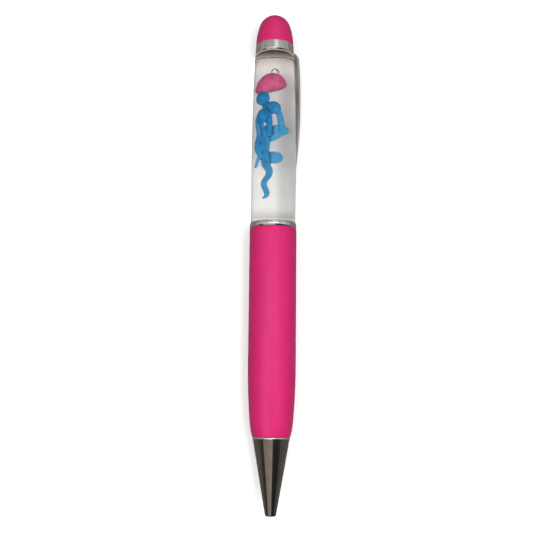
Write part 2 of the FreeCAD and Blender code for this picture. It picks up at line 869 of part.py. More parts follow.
# The figure's lobes: radius and half height, then place. Its arms: radius, then the places on the
# route, then the free ends, first or last. A place is the share of the reach to the side, the share
# of it towards the viewer, and the share of the figure's length below the bell.
FIRST, LAST = 0, -1
LOBES = [
    (1.43, 1.80, -0.545, 0.08, 0.109),
    (1.20, 1.60, 0.069, 0.08, 0.205),
    (1.32, 2.20, -0.483, 0.12, 0.250),
    (1.00, 1.75, 0.470, 0.00, 0.392),
    (1.22, 2.25, 0.120, 0.08, 0.396),
    (0.80, 1.60, -0.099, 0.10, 0.472),
    (1.15, 1.70, -0.463, 0.05, 0.597),
    (1.30, 1.80, 0.112, 0.05, 0.629),
]
ARMS = [
    (0.90, [(-0.450, 0.05, 0.000), (-0.520, 0.08, 0.109)]),
    (0.80, [(-0.432, 0.06, 0.125), (0.069, 0.08, 0.205)]),
    (0.80, [(-0.500, 0.02, 0.125), (-0.483, 0.10, 0.250)]),
    (
        0.62,
        [
            (-0.600, 0.02, 0.220),
            (-0.784, -0.02, 0.298),
            (-0.692, 0.04, 0.392),
            (-0.800, 0.00, 0.490),
            (-0.549, 0.00, 0.615),
        ],
    ),
    (
        0.78,
        [
            (-0.319, 0.05, 0.158),
            (-0.267, 0.22, 0.239),
            (-0.305, 0.26, 0.320),
            (-0.258, 0.20, 0.401),
            (-0.378, 0.22, 0.490),
            (-0.430, 0.08, 0.588),
        ],
        FIRST,
    ),
    (
        0.70,
        [(-0.509, -0.12, 0.392), (-0.563, -0.10, 0.470), (-0.500, -0.02, 0.588)],
        FIRST,
    ),
    (0.60, [(0.156, 0.06, 0.212), (0.352, 0.03, 0.280), (0.410, 0.01, 0.345), (0.450, 0.02, 0.380)]),
    (0.55, [(0.525, 0.01, 0.412), (0.238, 0.04, 0.475), (-0.163, 0.08, 0.539), (-0.381, 0.06, 0.597)]),
    (0.75, [(-0.430, 0.05, 0.597), (0.112, 0.05, 0.629)]),
    (0.42, [(-0.599, 0.00, 0.592), (-0.880, 0.04, 0.709)], LAST),
    (0.82, [(-0.429, 0.00, 0.610), (-0.199, 0.02, 0.761)], LAST),
    (
        0.68,
        [
            (-0.259, 0.02, 0.721),
            (-0.163, 0.02, 0.794),
            (-0.453, 0.00, 0.862),
            (-0.441, 0.00, 0.915),
            (-0.333, 0.00, 0.950),
        ],
        LAST,
    ),
    (0.52, [(-0.372, 0.00, 0.931), (-0.264, 0.00, 0.967), (-0.455, 0.00, 0.992)], LAST),
]


def make_jelly_arms(bell):
    """The figure's soft arms: one moulding of lobes, curled limbs and a long wavy tail, on the bell."""
    pieces = [lobe(*row) for row in LOBES]
    for row in ARMS:
        pieces += limb(*row)
    moulding = pieces[0]
    for piece in pieces[1:]:
        smaller = moulding.Volume
        moulding = moulding.fuse(piece)
        if moulding.Volume < smaller:
            raise ValueError("a piece was lost from the figure's arms")
    tool = bell.Shape.copy()
    tool.Placement = figure_frame()
    feature = document.addObject("Part::Feature", "jelly_arms")
    feature.Label = "jelly_arms"
    feature.Shape = moulding.cut(tool)
    return feature


def figure_frame():
    """The bell's own place in the chamber: off the axis and tilted sideways."""
    base = number(CHAMBER_TOP) - size["bell_drop"]
    tilt = FreeCAD.Rotation(FreeCAD.Vector(0, 1, 0), size["bell_tilt"])
    return FreeCAD.Placement(FreeCAD.Vector(-size["bell_offset"], 0, base), tilt)


def clip_roll():
    """The turn about the pen's axis, down from level, at which the clip's edge meets the table."""
    reach, half_width = size["clip_arch_radius"], size["clip_width"] / 2
    corner = math.hypot(reach, half_width)
    return math.degrees(math.asin(size["barrel_radius"] / corner) - math.atan2(half_width, reach))


BELL = make_jelly_bell()
PLAIN = [
    make_nib_cone(),
    make_lower_barrel(),
    make_nib_bush(),
    make_drive_sleeve(),
    make_cam_sleeve(),
    make_mechanism_housing(),
    make_retaining_collar(),
    make_refill_plunger(),
    make_drive_pin(),
    make_refill_tube(),
    make_refill_point(),
    make_writing_ball(),
    make_tube_coupling(),
    make_drag_ring(),
    make_centre_ring(),
    make_clear_tube(),
    make_chamber_stopper(),
    make_dome_cap(),
    make_jelly_arms(BELL),
]
ROLLED = [make_clip_band(), make_pocket_clip()]
PIECES = PLAIN + ROLLED + [BELL]


def lay_down(shift):
    """Lays every piece on its side, with the cap towards +Y and the clip down to the +X side."""
    laid = FreeCAD.Placement(shift, FreeCAD.Rotation(FreeCAD.Vector(1, 0, 0), -90))
    roll = FreeCAD.Placement(
        FreeCAD.Vector(), FreeCAD.Rotation(FreeCAD.Vector(0, 0, 1), clip_roll())
    )
    for piece in PLAIN:
        piece.Placement = laid
    for piece in ROLLED:
        piece.Placement = laid.multiply(roll)
    BELL.Placement = laid.multiply(figure_frame())
    document.recompute()


# The pen is laid down about its own axis first, and then moved so that the middle of its footprint
# is the origin and its lowest line lies on the table.
lay_down(FreeCAD.Vector())
box = Part.Compound([piece.Shape for piece in PIECES]).optimalBoundingBox(False)
lay_down(FreeCAD.Vector(-box.Center.x, -box.Center.y, -box.ZMin))

for item in document.Objects:
    if "Invalid" in item.State or "Error" in item.State:
        raise ValueError(f"{item.Label} failed to build")
for piece in PIECES:
    if piece.Shape.isNull() or not piece.Shape.isValid() or len(piece.Shape.Solids) != 1:
        raise ValueError(f"{piece.Label} is not one valid solid")

os.makedirs("parts", exist_ok=True)
for piece in PIECES:
    piece.Shape.exportStep(f"parts/{piece.Label}.step")
axis_place = PLAIN[0].Placement.Base
print(f"{len(PIECES)} pieces, axis at x {axis_place.x:.4f}, y {axis_place.y:.4f}, z {axis_place.z:.4f}")
print(f"clip rolled {clip_roll():.2f} degrees below level, box {box.XLength:.3f} {box.YLength:.3f} {box.ZLength:.3f}")
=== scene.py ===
"""Dresses a packed floating-action twist pen: turned, moulded and bent pieces, soft figure, stage and light.

Lengths in the code are millimetres in the pen's own terms, as its maker would measure it: across the
pen, along it from the open end of the nib, and up from its axis. One function turns them to metres.
"""

import math

import bmesh
import bpy
import numpy as np
from mathutils import Matrix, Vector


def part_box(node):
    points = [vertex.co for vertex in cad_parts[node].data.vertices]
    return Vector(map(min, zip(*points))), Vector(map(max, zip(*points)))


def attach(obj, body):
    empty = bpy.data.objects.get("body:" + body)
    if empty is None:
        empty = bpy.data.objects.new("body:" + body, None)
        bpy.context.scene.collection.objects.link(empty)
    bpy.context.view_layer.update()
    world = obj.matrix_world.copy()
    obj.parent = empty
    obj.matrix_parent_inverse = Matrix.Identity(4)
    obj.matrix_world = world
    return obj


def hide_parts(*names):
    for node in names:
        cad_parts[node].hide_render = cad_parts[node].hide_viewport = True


bl_info = {
    "name": "Floating Action Pen",
    "version": (1, 0, 0),
    "blender": (4, 5, 0),
    "location": "View3D > Sidebar > Pen",
    "description": "Makes the visible pieces and finishes of a floating-action twist pen, with its stage",
    "category": "Object",
}

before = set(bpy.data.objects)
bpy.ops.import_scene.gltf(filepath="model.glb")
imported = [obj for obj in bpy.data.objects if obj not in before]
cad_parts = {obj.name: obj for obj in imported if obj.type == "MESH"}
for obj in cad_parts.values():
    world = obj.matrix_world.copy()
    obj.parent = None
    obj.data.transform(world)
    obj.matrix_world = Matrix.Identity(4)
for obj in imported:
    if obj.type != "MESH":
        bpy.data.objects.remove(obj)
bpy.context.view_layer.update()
MM = 0.001


def middle_of_barrel():
    """Finds the pen's axis across and up, and the nib's open end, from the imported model, in metres."""
    low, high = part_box("lower_barrel")
    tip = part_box("nib_cone")[0].y
    return np.array([(low.x + high.x) / 2, tip, (low.z + high.z) / 2])


ORIGIN = middle_of_barrel()


def levels(node):
    """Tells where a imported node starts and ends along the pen, in millimetres from the nib's open end."""
    low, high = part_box(node)
    return (low.y - ORIGIN[1]) / MM, (high.y - ORIGIN[1]) / MM


BARREL_BASE, BARREL_TOP = levels("lower_barrel")
RING_BASE, RING_TOP = levels("centre_ring")
BAND_BASE, BAND_TOP = levels("clip_band")
CAP_TOP = levels("dome_cap")[1]
STOPPER_BASE, STOPPER_TOP = levels("chamber_stopper")
TUBE_END = levels("clear_tube")[0]
CLIP_END = levels("pocket_clip")[0]
CLIP_TONGUE = BAND_TOP - 1.45  # the level at which the clip's tongue goes through the band
SHANK_LENGTH = 2.2  # the nib's plain shank under its thread
FIT = 0.02  # room left round a piece that sits in another


def colour(text):
    """Turns an sRGB hex colour into linear light with full alpha."""
    values = [int(text[i : i + 2], 16) / 255 for i in (0, 2, 4)]
    return tuple(v / 12.92 if v <= 0.04045 else ((v + 0.055) / 1.055) ** 2.4 for v in values) + (1.0,)


def shade(light, share):
    """Takes a share of a linear colour's light and leaves its alpha full."""
    return tuple(share * v for v in light[:3]) + (1.0,)


class PenSizes(bpy.types.PropertyGroup):
    """Sizes of the visible pieces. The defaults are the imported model's own."""

    barrel_radius: bpy.props.FloatProperty(
        name="Barrel radius", description="Radius of the straight barrel, mm", default=6.5, min=4, max=9
    )
    edge_rounding: bpy.props.FloatProperty(
        name="Edge rounding", description="Radius left on most edges, mm", default=0.12, min=0.02, max=0.3
    )
    cap_radius: bpy.props.FloatProperty(
        name="Cap radius", description="Radius of the cap at its base, mm", default=5.35, min=4, max=7
    )
    cap_nose_radius: bpy.props.FloatProperty(
        name="Cap nose radius", description="Radius of the cap's rounded top, mm", default=4.6, min=2, max=5
    )
    tube_base_radius: bpy.props.FloatProperty(
        name="Tube base radius", description="Radius of the tube at the ring, mm", default=6.2, min=5, max=8
    )
    tube_top_radius: bpy.props.FloatProperty(
        name="Tube top radius", description="Radius of the tube at the band, mm", default=5.6, min=5, max=8
    )
    chamber_radius: bpy.props.FloatProperty(
        name="Chamber radius", description="Radius of the chamber's bore, mm", default=4.3, min=3, max=5
    )
    clip_width: bpy.props.FloatProperty(
        name="Clip width", description="Width of the clip's strip, mm", default=4.2, min=2, max=6
    )
    clip_end_width: bpy.props.FloatProperty(
        name="Clip end width", description="Width of the clip at its end, mm", default=3.0, min=1, max=6
    )
    clip_thickness: bpy.props.FloatProperty(
        name="Clip thickness", description="Thickness of the clip's strip, mm", default=0.7, min=0.3, max=1.2
    )
    bell_radius: bpy.props.FloatProperty(
        name="Bell radius", description="Radius of the figure's bell, mm", default=3.0, min=2, max=3.4
    )
    bell_height: bpy.props.FloatProperty(
        name="Bell height", description="Height of the figure's bell, mm", default=4.12, min=2, max=5
    )
    voxel: bpy.props.FloatProperty(
        name="Arm grain", description="Grid that blends the arms, mm", default=0.11, min=0.08, max=0.4
    )


# What each colour on the panel has in common: its kind, its alpha and its range.
ON_PANEL = {"subtype": "COLOR", "size": 4, "min": 0.0, "max": 1.0}


class PenFinishes(bpy.types.PropertyGroup):
    """Colours and optical values of the finishes."""

    cap_colour: bpy.props.FloatVectorProperty(
        name="Cap colour", description="Colour of the moulded cap", default=colour("B61B5C"), **ON_PANEL
    )
    lacquer_colour: bpy.props.FloatVectorProperty(
        name="Lacquer colour", description="Colour of the lacquer", default=colour("B61C5E"), **ON_PANEL
    )
    bell_colour: bpy.props.FloatVectorProperty(
        name="Bell colour", description="Colour of the figure's bell", default=colour("C0507C"), **ON_PANEL
    )
    arm_colour: bpy.props.FloatVectorProperty(
        name="Arm colour", description="Colour of the figure's arms", default=colour("0272A8"), **ON_PANEL
    )
    acrylic_ior: bpy.props.FloatProperty(
        name="Acrylic IOR", description="Refractive index of acrylic in air", default=1.49, min=1.3, max=1.7
    )
    oil_ior: bpy.props.FloatProperty(
        name="Oil IOR", description="Refractive index of the oil in air", default=1.48, min=1.3, max=1.7
    )


def sizes():
    """Gives the sizes that the panel holds."""
    return bpy.context.scene.pen_sizes


def finishes():
    """Gives the colours and optical values that the panel holds."""
    return bpy.context.scene.pen_finishes


def to_world(points):
    """Turns points in the pen's own millimetres (across, along, up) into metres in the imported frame."""
    return np.asarray(points, float) * MM + ORIGIN


def run(start, end, count=2):
    """Points of a straight run, with its end left out."""
    share = np.linspace(0, 1, count, endpoint=False)[:, None]
    return np.asarray(start) * (1 - share) + np.asarray(end) * share


def runs(*corners):
    """Gives the straight runs from corner to corner, each of them with its end left out.

    A corner is a radius, a level and, where the run after it has more than two points, their number.
    """
    return [run(start[:2], end[:2], *start[2:]) for start, end in zip(corners, corners[1:])]


def arc(start, through, end, count=24):
    """Points of the circle's arc from start through a middle point to end, with its end left out.

    The centre is equally far from all three points, so it solves two linear equations.
    """
    a, b, c = (np.asarray(p, float) for p in (start, through, end))
    centre = np.linalg.solve(2 * np.array([b - a, c - a]), [b @ b - a @ a, c @ c - a @ a])
    first, half, last = (math.atan2(*(p - centre)[::-1]) for p in (a, b, c))
    full = 2 * math.pi
    if (half - first) % full < (last - first) % full:
        sweep = (last - first) % full
    else:
        sweep = -((first - last) % full)
    angle = first + sweep * np.linspace(0, 1, count, endpoint=False)
    return centre + np.linalg.norm(a - centre) * np.stack([np.cos(angle), np.sin(angle)], -1)


def unit(vectors):
    """Scales vectors to a length of one."""
    return vectors / np.linalg.norm(vectors, axis=-1, keepdims=True)


def round_turn(count):
    """Even angles round a full turn, as a column."""
    return np.linspace(0, 2 * math.pi, count, endpoint=False)[:, None]


def travelled(points):
    """How far each point of a line lies from its start: the sum of the steps up to it."""
    step = np.linalg.norm(np.diff(points, axis=0), axis=1)
    return np.concatenate([[0], np.cumsum(step)])


def along(points, distance):
    """Walks given distances along a line of points. Past its ends it stops there."""
    return np.stack([np.interp(distance, travelled(points), column) for column in points.T], -1)


def section(*pieces, rounding):
    """Joins runs and arcs to a closed half section and rounds the corners between them.

    Each piece ends where the next starts. At a corner both pieces are cut short by the rounding, or by
    less where they are short, and a parabola with its apex towards the corner joins them:
    P = (1-t)^2 A + 2 t (1-t) corner + t^2 B. A corner on the axis stays as it is.
    """
    most, clear = 0.4, 1.2
    bend = np.linspace(0, 1, 6)[:, None]
    whole = [np.vstack([piece, following[:1]]) for piece, following in zip(pieces, pieces[1:] + pieces[:1])]
    result = []
    for before, after in zip([whole[-1]] + whole[:-1], whole):
        corner, way = after[0], travelled(after)
        back, ahead = (min(rounding, most * travelled(piece)[-1]) for piece in (before, after))
        if corner[0] > 1e-6:
            start, end = along(before[::-1], [back]), along(after, [ahead])
            result.append((1 - bend) ** 2 * start + 2 * bend * (1 - bend) * corner + bend**2 * end)
            keep = (way > clear * ahead) & (way < way[-1] - clear * ahead)
        else:
            result.append(after[:1])
            keep = (way > 0) & (way < way[-1] - clear * rounding)
        result.append(after[keep])
    return np.vstack(result)


def surface(name, grid, wrap_rows=True, wrap_columns=True, sharp=35):
    """Makes a mesh object of a grid of points in metres, joined row to row and column to column.

    Points that fall together, at a pole or an end, become one, and the faces are turned outwards.
    """
    rows, columns = grid.shape[:2]
    index = np.arange(rows * columns).reshape(rows, columns)
    if wrap_rows:
        index = np.vstack([index, index[:1]])
    if wrap_columns:
        index = np.hstack([index, index[:, :1]])
    corners = [index[:-1, :-1], index[1:, :-1], index[1:, 1:], index[:-1, 1:]]
    return mesh_object(name, grid.reshape(-1, 3), np.stack(corners, -1).reshape(-1, 4).tolist(), sharp)


def mesh_object(name, points, faces, sharp=35):
    """Makes a mesh object, closes its seams, turns its faces outwards and smooths all but sharp edges."""
    mesh = bpy.data.meshes.new(name)
    mesh.from_pydata(points.tolist(), [], faces)
    work = bmesh.new()
    work.from_mesh(mesh)
    bmesh.ops.remove_doubles(work, verts=work.verts, dist=1e-7)
    bmesh.ops.dissolve_degenerate(work, edges=work.edges, dist=1e-8)
    bmesh.ops.recalc_face_normals(work, faces=work.faces)
    work.to_mesh(mesh)
    work.free()
    mesh.shade_smooth()
    mesh.set_sharp_from_angle(angle=math.radians(sharp))
    return put(name, mesh)


def put(name, data):
    """Puts a mesh, a lamp or a camera in the scene as an object, and gives the object."""
    thing = bpy.data.objects.new(name, data)
    bpy.context.scene.collection.objects.link(thing)
    return thing


def revolve(radius, level, facets):
    """Turns a line about the pen's axis: (r cos a, s, r sin a), with a the angle round the axis."""
    angle = round_turn(facets)
    return np.stack([radius * np.cos(angle), level + 0 * angle, radius * np.sin(angle)], -1)


def turned(name, half_section, facets=192):
    """Makes a turned piece of its closed half section, whose points are a radius and a level."""
    return surface(name, to_world(revolve(*half_section.T, facets)))


def oval(wide, tall, deep, lean=0, around=36, down=26, fullness=0.85):
    """An oval: (a cos u sin v, b cos v, c sin u sin v), leant by an angle in the plane across the viewer.

    The sine of v is raised to the fullness, so that under one the oval is fuller than an ellipse.
    """
    u = round_turn(around)
    v = np.linspace(0, math.pi, down)[None, :]
    full = np.abs(np.sin(v)) ** fullness
    side, up = wide * np.cos(u) * full, tall * np.cos(v) + 0 * u
    cosine, sine = math.cos(math.radians(lean)), math.sin(math.radians(lean))
    return np.stack([side * cosine + up * sine, up * cosine - side * sine, deep * np.sin(u) * full], -1)


def settle(piece):
    """Applies a piece's modifiers, so that its mesh is final."""
    graph = bpy.context.evaluated_depsgraph_get()
    mesh = bpy.data.meshes.new_from_object(piece.evaluated_get(graph))
    piece.modifiers.clear()
    old = piece.data
    piece.data = mesh
    bpy.data.meshes.remove(old)


def dress(piece, body, slot, material, *nodes):
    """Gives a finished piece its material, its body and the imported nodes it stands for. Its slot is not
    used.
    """
    piece.data.materials.clear()
    piece.data.materials.append(material)
    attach(piece, body)
    if nodes:
        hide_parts(*nodes)


def rows_of(items, name, width, kind=float):
    """Reads a value of every vertex, edge or face of a mesh, one to a row."""
    values = np.empty(len(items) * width, dtype=kind)
    items.foreach_get(name, values)
    return values.reshape(-1, width)


def dress_faces(piece, material, rule):
    """Gives a second material to faces that a rule picks by distance from the axis and level."""
    piece.data.materials.append(material)
    across, level, up = ((rows_of(piece.data.polygons, "center", 3) - ORIGIN) / MM).T
    chosen = rule(np.hypot(across, up), level)
    piece.data.polygons.foreach_set("material_index", chosen.astype(np.int32))


# A Mix node's sockets for colours share their names with those for numbers, so they go by their places.
FIRST, SECOND = 6, 7
OF_COLOURS = {"output": 2, "data_type": "RGBA"}
WHITE = (1.0, 1.0, 1.0)


def add(tree, kind, inputs=None, output=0, stops=(), **settings):
    """Adds a shader node of a kind, sets its properties and gives one of its outputs, if it has any.

    Its inputs are filled or linked by name or number. Stops are a colour ramp's places and colours.
    """
    node = tree.nodes.new("ShaderNode" + kind)
    for name, value in settings.items():
        setattr(node, name, value)
    for name, value in (inputs or {}).items():
        if isinstance(value, bpy.types.NodeSocket):
            tree.links.new(value, node.inputs[name])
        else:
            node.inputs[name].default_value = value
    if stops:
        elements = node.color_ramp.elements
        while len(elements) < len(stops):
            elements.new(0.5)
        for element, (place, value) in zip(elements, stops):
            element.position = place
            element.color = value
    return node.outputs[output] if node.outputs else None


def grain(tree, size_mm, detail=2.0, squeeze=None):
    """Adds noise whose cells are about a size in millimetres, squeezed along an axis where asked."""
    place = add(tree, "TexCoord", output="Object")
    if squeeze:
        place = add(tree, "Mapping", {"Vector": place, "Scale": squeeze})
    return add(tree, "TexNoise", {"Vector": place, "Scale": 1 / (size_mm * MM), "Detail": detail})


def share_along(tree, axis, start, end, source="Object", **settings):
    """Gives 0 at one place along an axis of the coordinates and 1 at another, with the way between."""
    place = add(tree, "TexCoord", output=source)
    value = add(tree, "SeparateXYZ", {"Vector": place}, axis)
    return add(tree, "MapRange", {"Value": value, "From Min": start, "From Max": end}, **settings)


def finish(name, values, mottle=None, tone=None, polish=None, relief=None, clear=False, kind="Principled"):
    """Makes a material of one surface shader with its own values, unless it is there already.

    Mottle is cells and the stops of their colours. Tone is a function that takes the tree and the base
    colour's socket and gives another. Polish is cells and their lowest and highest roughness, and relief
    is cells and their depth in millimetres. Cells are what grain takes. A clear material lets rays from
    lamps pass straight, tinted, so that what it holds is lit.
    """
    material = bpy.data.materials.get(name)
    if material:
        return material
    material = bpy.data.materials.new(name)
    material.use_nodes = True
    tree = material.node_tree
    tree.nodes.clear()
    inputs = dict(values)
    if mottle:
        cells, *stops = mottle
        inputs["Base Color"] = add(tree, "ValToRGB", {"Fac": grain(tree, *cells)}, stops=stops)
    if tone:
        inputs["Base Color"] = tone(tree, inputs.get("Base Color"))
    if polish:
        cells, low, high = polish
        wander = {"Value": grain(tree, *cells), "To Min": low, "To Max": high}
        inputs["Roughness"] = add(tree, "MapRange", wander)
    if relief:
        cells, depth_mm = relief
        marks = {"Height": grain(tree, *cells), "Distance": depth_mm * MM}
        inputs["Normal"] = add(tree, "Bump", marks)
        if "Coat Weight" in inputs:
            inputs["Coat Normal"] = inputs["Normal"]
    skin = add(tree, "Bsdf" + kind, inputs)
    if clear:
        straight = add(tree, "BsdfTransparent", {"Color": (0.9, 0.9, 0.9, 1)})
        from_lamp = add(tree, "LightPath", output="Is Shadow Ray")
        skin = add(tree, "MixShader", {"Fac": from_lamp, 1: skin, 2: straight})
    add(tree, "OutputMaterial", {"Surface": skin})
    return material


def moulded_cap_plastic():
    """Glossy ABS from a polished mould: even colour, a soft gleam and a faint ripple of about 1 mm."""
    base = tuple(finishes().cap_colour)
    return finish(
        "Gloss moulded ABS",
        {"IOR": 1.53, "Specular IOR Level": 0.35},
        mottle=((2.5,), (0.3, shade(base, 0.93)), (0.7, base)),
        polish=((0.8,), 0.24, 0.34),
        relief=((1.1, 1.0), 0.004),
    )


def barrel_lacquer():
    """Sprayed and baked lacquer on brass: deep colour under a clear coat with faint orange peel."""
    base = tuple(finishes().lacquer_colour)
    coat = {"Coat Weight": 0.12, "Coat Roughness": 0.2, "Coat IOR": 1.5}
    return finish(
        "Baked lacquer",
        {"IOR": 1.5, "Specular IOR Level": 0.2, **coat},
        mottle=((4.0,), (0.3, shade(base, 0.92)), (0.7, base)),
        polish=((1.5,), 0.28, 0.36),
        relief=((0.9, 1.0), 0.003),
    )


def plated(name, tint, rough_low, rough_high, mark_depth=0.0015):
    """Plate or bare metal, turned: a mirror with faint rings, drawn 0.4 mm apart to show, and wear."""
    base = colour(tint)
    return finish(
        name,
        {"Metallic": 1.0},
        mottle=((1.4, 3.0), (0.35, shade(base, 0.86)), (0.6, base)),
        polish=((0.6, 3.0), rough_low, rough_high),
        relief=((0.4, 1.0, (0.03, 1, 0.03)), mark_depth),
    )


def chrome_plate():
    """Bright chrome plate on turned brass, for the ring, the band and the nib's bead."""
    return plated("Bright chrome plate", "E4E4DE", 0.05, 0.12)


def dark_chrome_plate():
    """Darker chrome plate, as on the nib: the same mirror with a smoky, slightly warm tint."""
    return plated("Smoky chrome plate", "8F857C", 0.07, 0.14)


def brass():
    """Plain turned brass, a little dulled, with turning rings."""
    return plated("Turned brass", "D0B06A", 0.22, 0.36, 0.003)


def plain_steel():
    """Hardened and ground steel: grey and half bright."""
    return plated("Ground steel", "A8A8A6", 0.18, 0.3)


def refill_metal():
    """Drawn nickel-silver tube: a satin skin with faint rings round it."""
    return plated("Drawn nickel silver", "BDBBB2", 0.22, 0.34)


def spring_steel():
    """Chromed spring steel strip, with fine grinding lines along its length."""
    lines, steel = (0.25, 2.0, (1, 0.04, 1)), {"Metallic": 1.0, "Base Color": colour("C4C3C0")}
    return finish("Ground spring steel", steel, polish=(lines, 0.26, 0.42), relief=(lines, 0.002))


def acrylic_outside():
    """Clear acrylic against air: polished, with a faint grey tint and a slight haze of handling."""
    glassy = {"IOR": finishes().acrylic_ior, "Transmission Weight": 1.0, "Base Color": colour("E8E7E6")}
    return finish("Polished acrylic", glassy, polish=((3.0, 3.0), 0.0, 0.03), clear=True)


def acrylic_against_oil():
    """The same acrylic where oil wets it: the two indices nearly match, so this wall almost vanishes."""
    ior = finishes().acrylic_ior / finishes().oil_ior
    glassy = {"IOR": ior, "Transmission Weight": 1.0, "Roughness": 0.0, "Base Color": colour("F4F3F2")}
    return finish("Acrylic wetted by oil", glassy, clear=True)


def trapped_air():
    """Air bubble in oil. Light leaves the oil's index for air's, so the index is their ratio, under one."""
    glassy = {"IOR": 1 / finishes().oil_ior, "Roughness": 0.0, "Color": (1, 1, 1, 1)}
    return finish("Trapped air", glassy, clear=True, kind="Glass")


def rubber(name, dark, pale, tone=None, gloss=0.35):
    """Moulded rubber: matt, mottled in shade, with a fine skin."""
    return finish(
        name,
        {"IOR": 1.5, "Specular IOR Level": gloss},
        mottle=((0.7, 3.0), (0.3, colour(dark)), (0.7, colour(pale))),
        tone=tone,
        polish=((0.4,), 0.47, 0.63),
        relief=((0.3,), 0.01),
    )


def maroon_rubber():
    """The stopper's rubber, painted paler towards its lower side: painted light."""

    def painted_light_below(tree, mottled):
        middle, pale = float(ORIGIN[2]), colour("A8968F")
        # Painted light: paler from 1.4 mm above the axis down to 3.6 mm below it.
        share = share_along(tree, "Z", middle + 1.4 * MM, middle - 3.6 * MM)
        return add(tree, "Mix", {"Factor": share, FIRST: mottled, SECOND: pale}, **OF_COLOURS)

    return rubber("Maroon rubber", "2C1414", "4A2A29", painted_light_below, 0.05)


def silicone(name, deep, base, subsurface=0.25, tone=None):
    """Soft dyed silicone in oil: light enters it a little way, and the oil takes its gloss away."""
    soft = {"Subsurface Weight": subsurface, "Subsurface Radius": WHITE, "Subsurface Scale": 0.6 * MM}
    values = {"IOR": 1.41, "Specular IOR Level": 0.12, "Roughness": 0.5, **soft}
    return finish(name, values, ((1.6, 3.0), (0.32, deep), (0.62, base)), tone, relief=((0.5,), 0.01))


def blue_silicone():
    """The arms' silicone: painted paler where they are thin, as light shining through, and painted darker in
    their creases, as shade.
    """
    # The thin colour is painted light for thin parts; the deep one is painted shade for creases.
    crest, thin, deep = tuple(finishes().arm_colour), colour("569ABA"), colour("04466A")

    def dyed_with_painted_light_and_shade(tree, cloud):
        # Painted light: paler where the arm lies near the pen's middle plane, as light through thin silicone.
        place = add(tree, "TexCoord", output="Object")
        level = add(tree, "SeparateXYZ", {"Vector": place}, "Z")
        above = add(tree, "Math", {0: level, 1: float(ORIGIN[2])}, operation="SUBTRACT")
        half = add(tree, "Math", {0: above}, operation="ABSOLUTE")
        thinness = {"Value": half, "From Min": 1.1 * MM, "From Max": 0.3 * MM, "To Max": 0.55}
        share = add(tree, "MapRange", thinness)
        body = add(tree, "Mix", {"Factor": share, FIRST: cloud, SECOND: thin}, **OF_COLOURS)
        # Painted shade: deeper blue in the creases that the crease attribute marks.
        fold = add(tree, "Attribute", output="Fac", attribute_name="fold")
        share = add(tree, "MapRange", {"Value": fold, "From Min": 0.4, "From Max": 0.76})
        return add(tree, "Mix", {"Factor": share, FIRST: body, SECOND: deep}, **OF_COLOURS)

    return silicone("Sky silicone", shade(crest, 0.6), crest, 0.3, dyed_with_painted_light_and_shade)


def acetal():
    """Natural white acetal: waxy, slightly translucent, satin."""
    waxy = {"IOR": 1.48, "Subsurface Weight": 0.15, "Subsurface Scale": 0.5 * MM}
    cloud = ((1.5,), (0.3, colour("DCDAD0")), (0.7, colour("ECEAE2")))
    return finish("Natural acetal", waxy, cloud, polish=((0.6,), 0.32, 0.44))


class PEN_OT_dome_cap(bpy.types.Operator):
    """Makes the moulded dome cap with its hollow core and the spigot that sits in the tube's neck"""

    bl_idname = "pen.dome_cap"
    bl_label = "Dome cap"

    def execute(self, context):
        s = sizes()
        radius, nose, height = s.cap_radius, s.cap_nose_radius, CAP_TOP - BAND_TOP
        side = (radius**2 + (height - nose) ** 2 - nose**2) / (2 * (radius - nose))
        slope = math.atan2(height - nose, side - radius)
        core, spigot, neck = 2.9, s.chamber_radius - FIT, 5.0
        neck_top, roof = BAND_BASE + 2.7, BAND_TOP + 5.0

        def side_point(angle):
            return (side * math.cos(angle) - side + radius, BAND_TOP + side * math.sin(angle))

        def nose_point(angle):
            return (nose * math.cos(angle), CAP_TOP - nose + nose * math.sin(angle))

        dome = [
            arc((radius, BAND_TOP), side_point(slope / 2), side_point(slope), 28),
            arc(nose_point(slope), nose_point((slope + math.pi / 2) / 2), (0, CAP_TOP), 48),
        ]
        half = section(
            *runs((core, STOPPER_TOP), (spigot, STOPPER_TOP), (spigot, neck_top), (neck, neck_top)),
            *runs((neck, neck_top), (neck, BAND_TOP), (radius, BAND_TOP)),
            np.vstack(dome),
            *runs((0, CAP_TOP), (0, roof), (core, roof), (core, STOPPER_TOP)),
            rounding=s.edge_rounding,
        )
        piece = turned("moulded_dome_cap", half)
        dress(piece, "upper_half", "cap_plastic", moulded_cap_plastic(), "dome_cap")
        return {"FINISHED"}


def clip_roll():
    """The angle below level at which the clip's lower edge meets the table beside the barrel.

    The barrel's underside and the clip's edge are equally low, so the edge, at the clip's reach along
    and half its width across, is turned until it is a barrel's radius below the axis.
    """
    s = sizes()
    reach, half_width = 8.0, s.clip_width / 2
    return math.asin(s.barrel_radius / math.hypot(reach, half_width)) - math.atan2(half_width, reach)


def on_clip_side(points):
    """Turns points given as (out along the clip's side, level, across the strip) to the pen's own."""
    out, level, across = np.moveaxis(np.asarray(points, float), -1, 0)
    cosine, sine = math.cos(clip_roll()), math.sin(clip_roll())
    return np.stack([out * cosine + across * sine, level, -out * sine + across * cosine], -1)


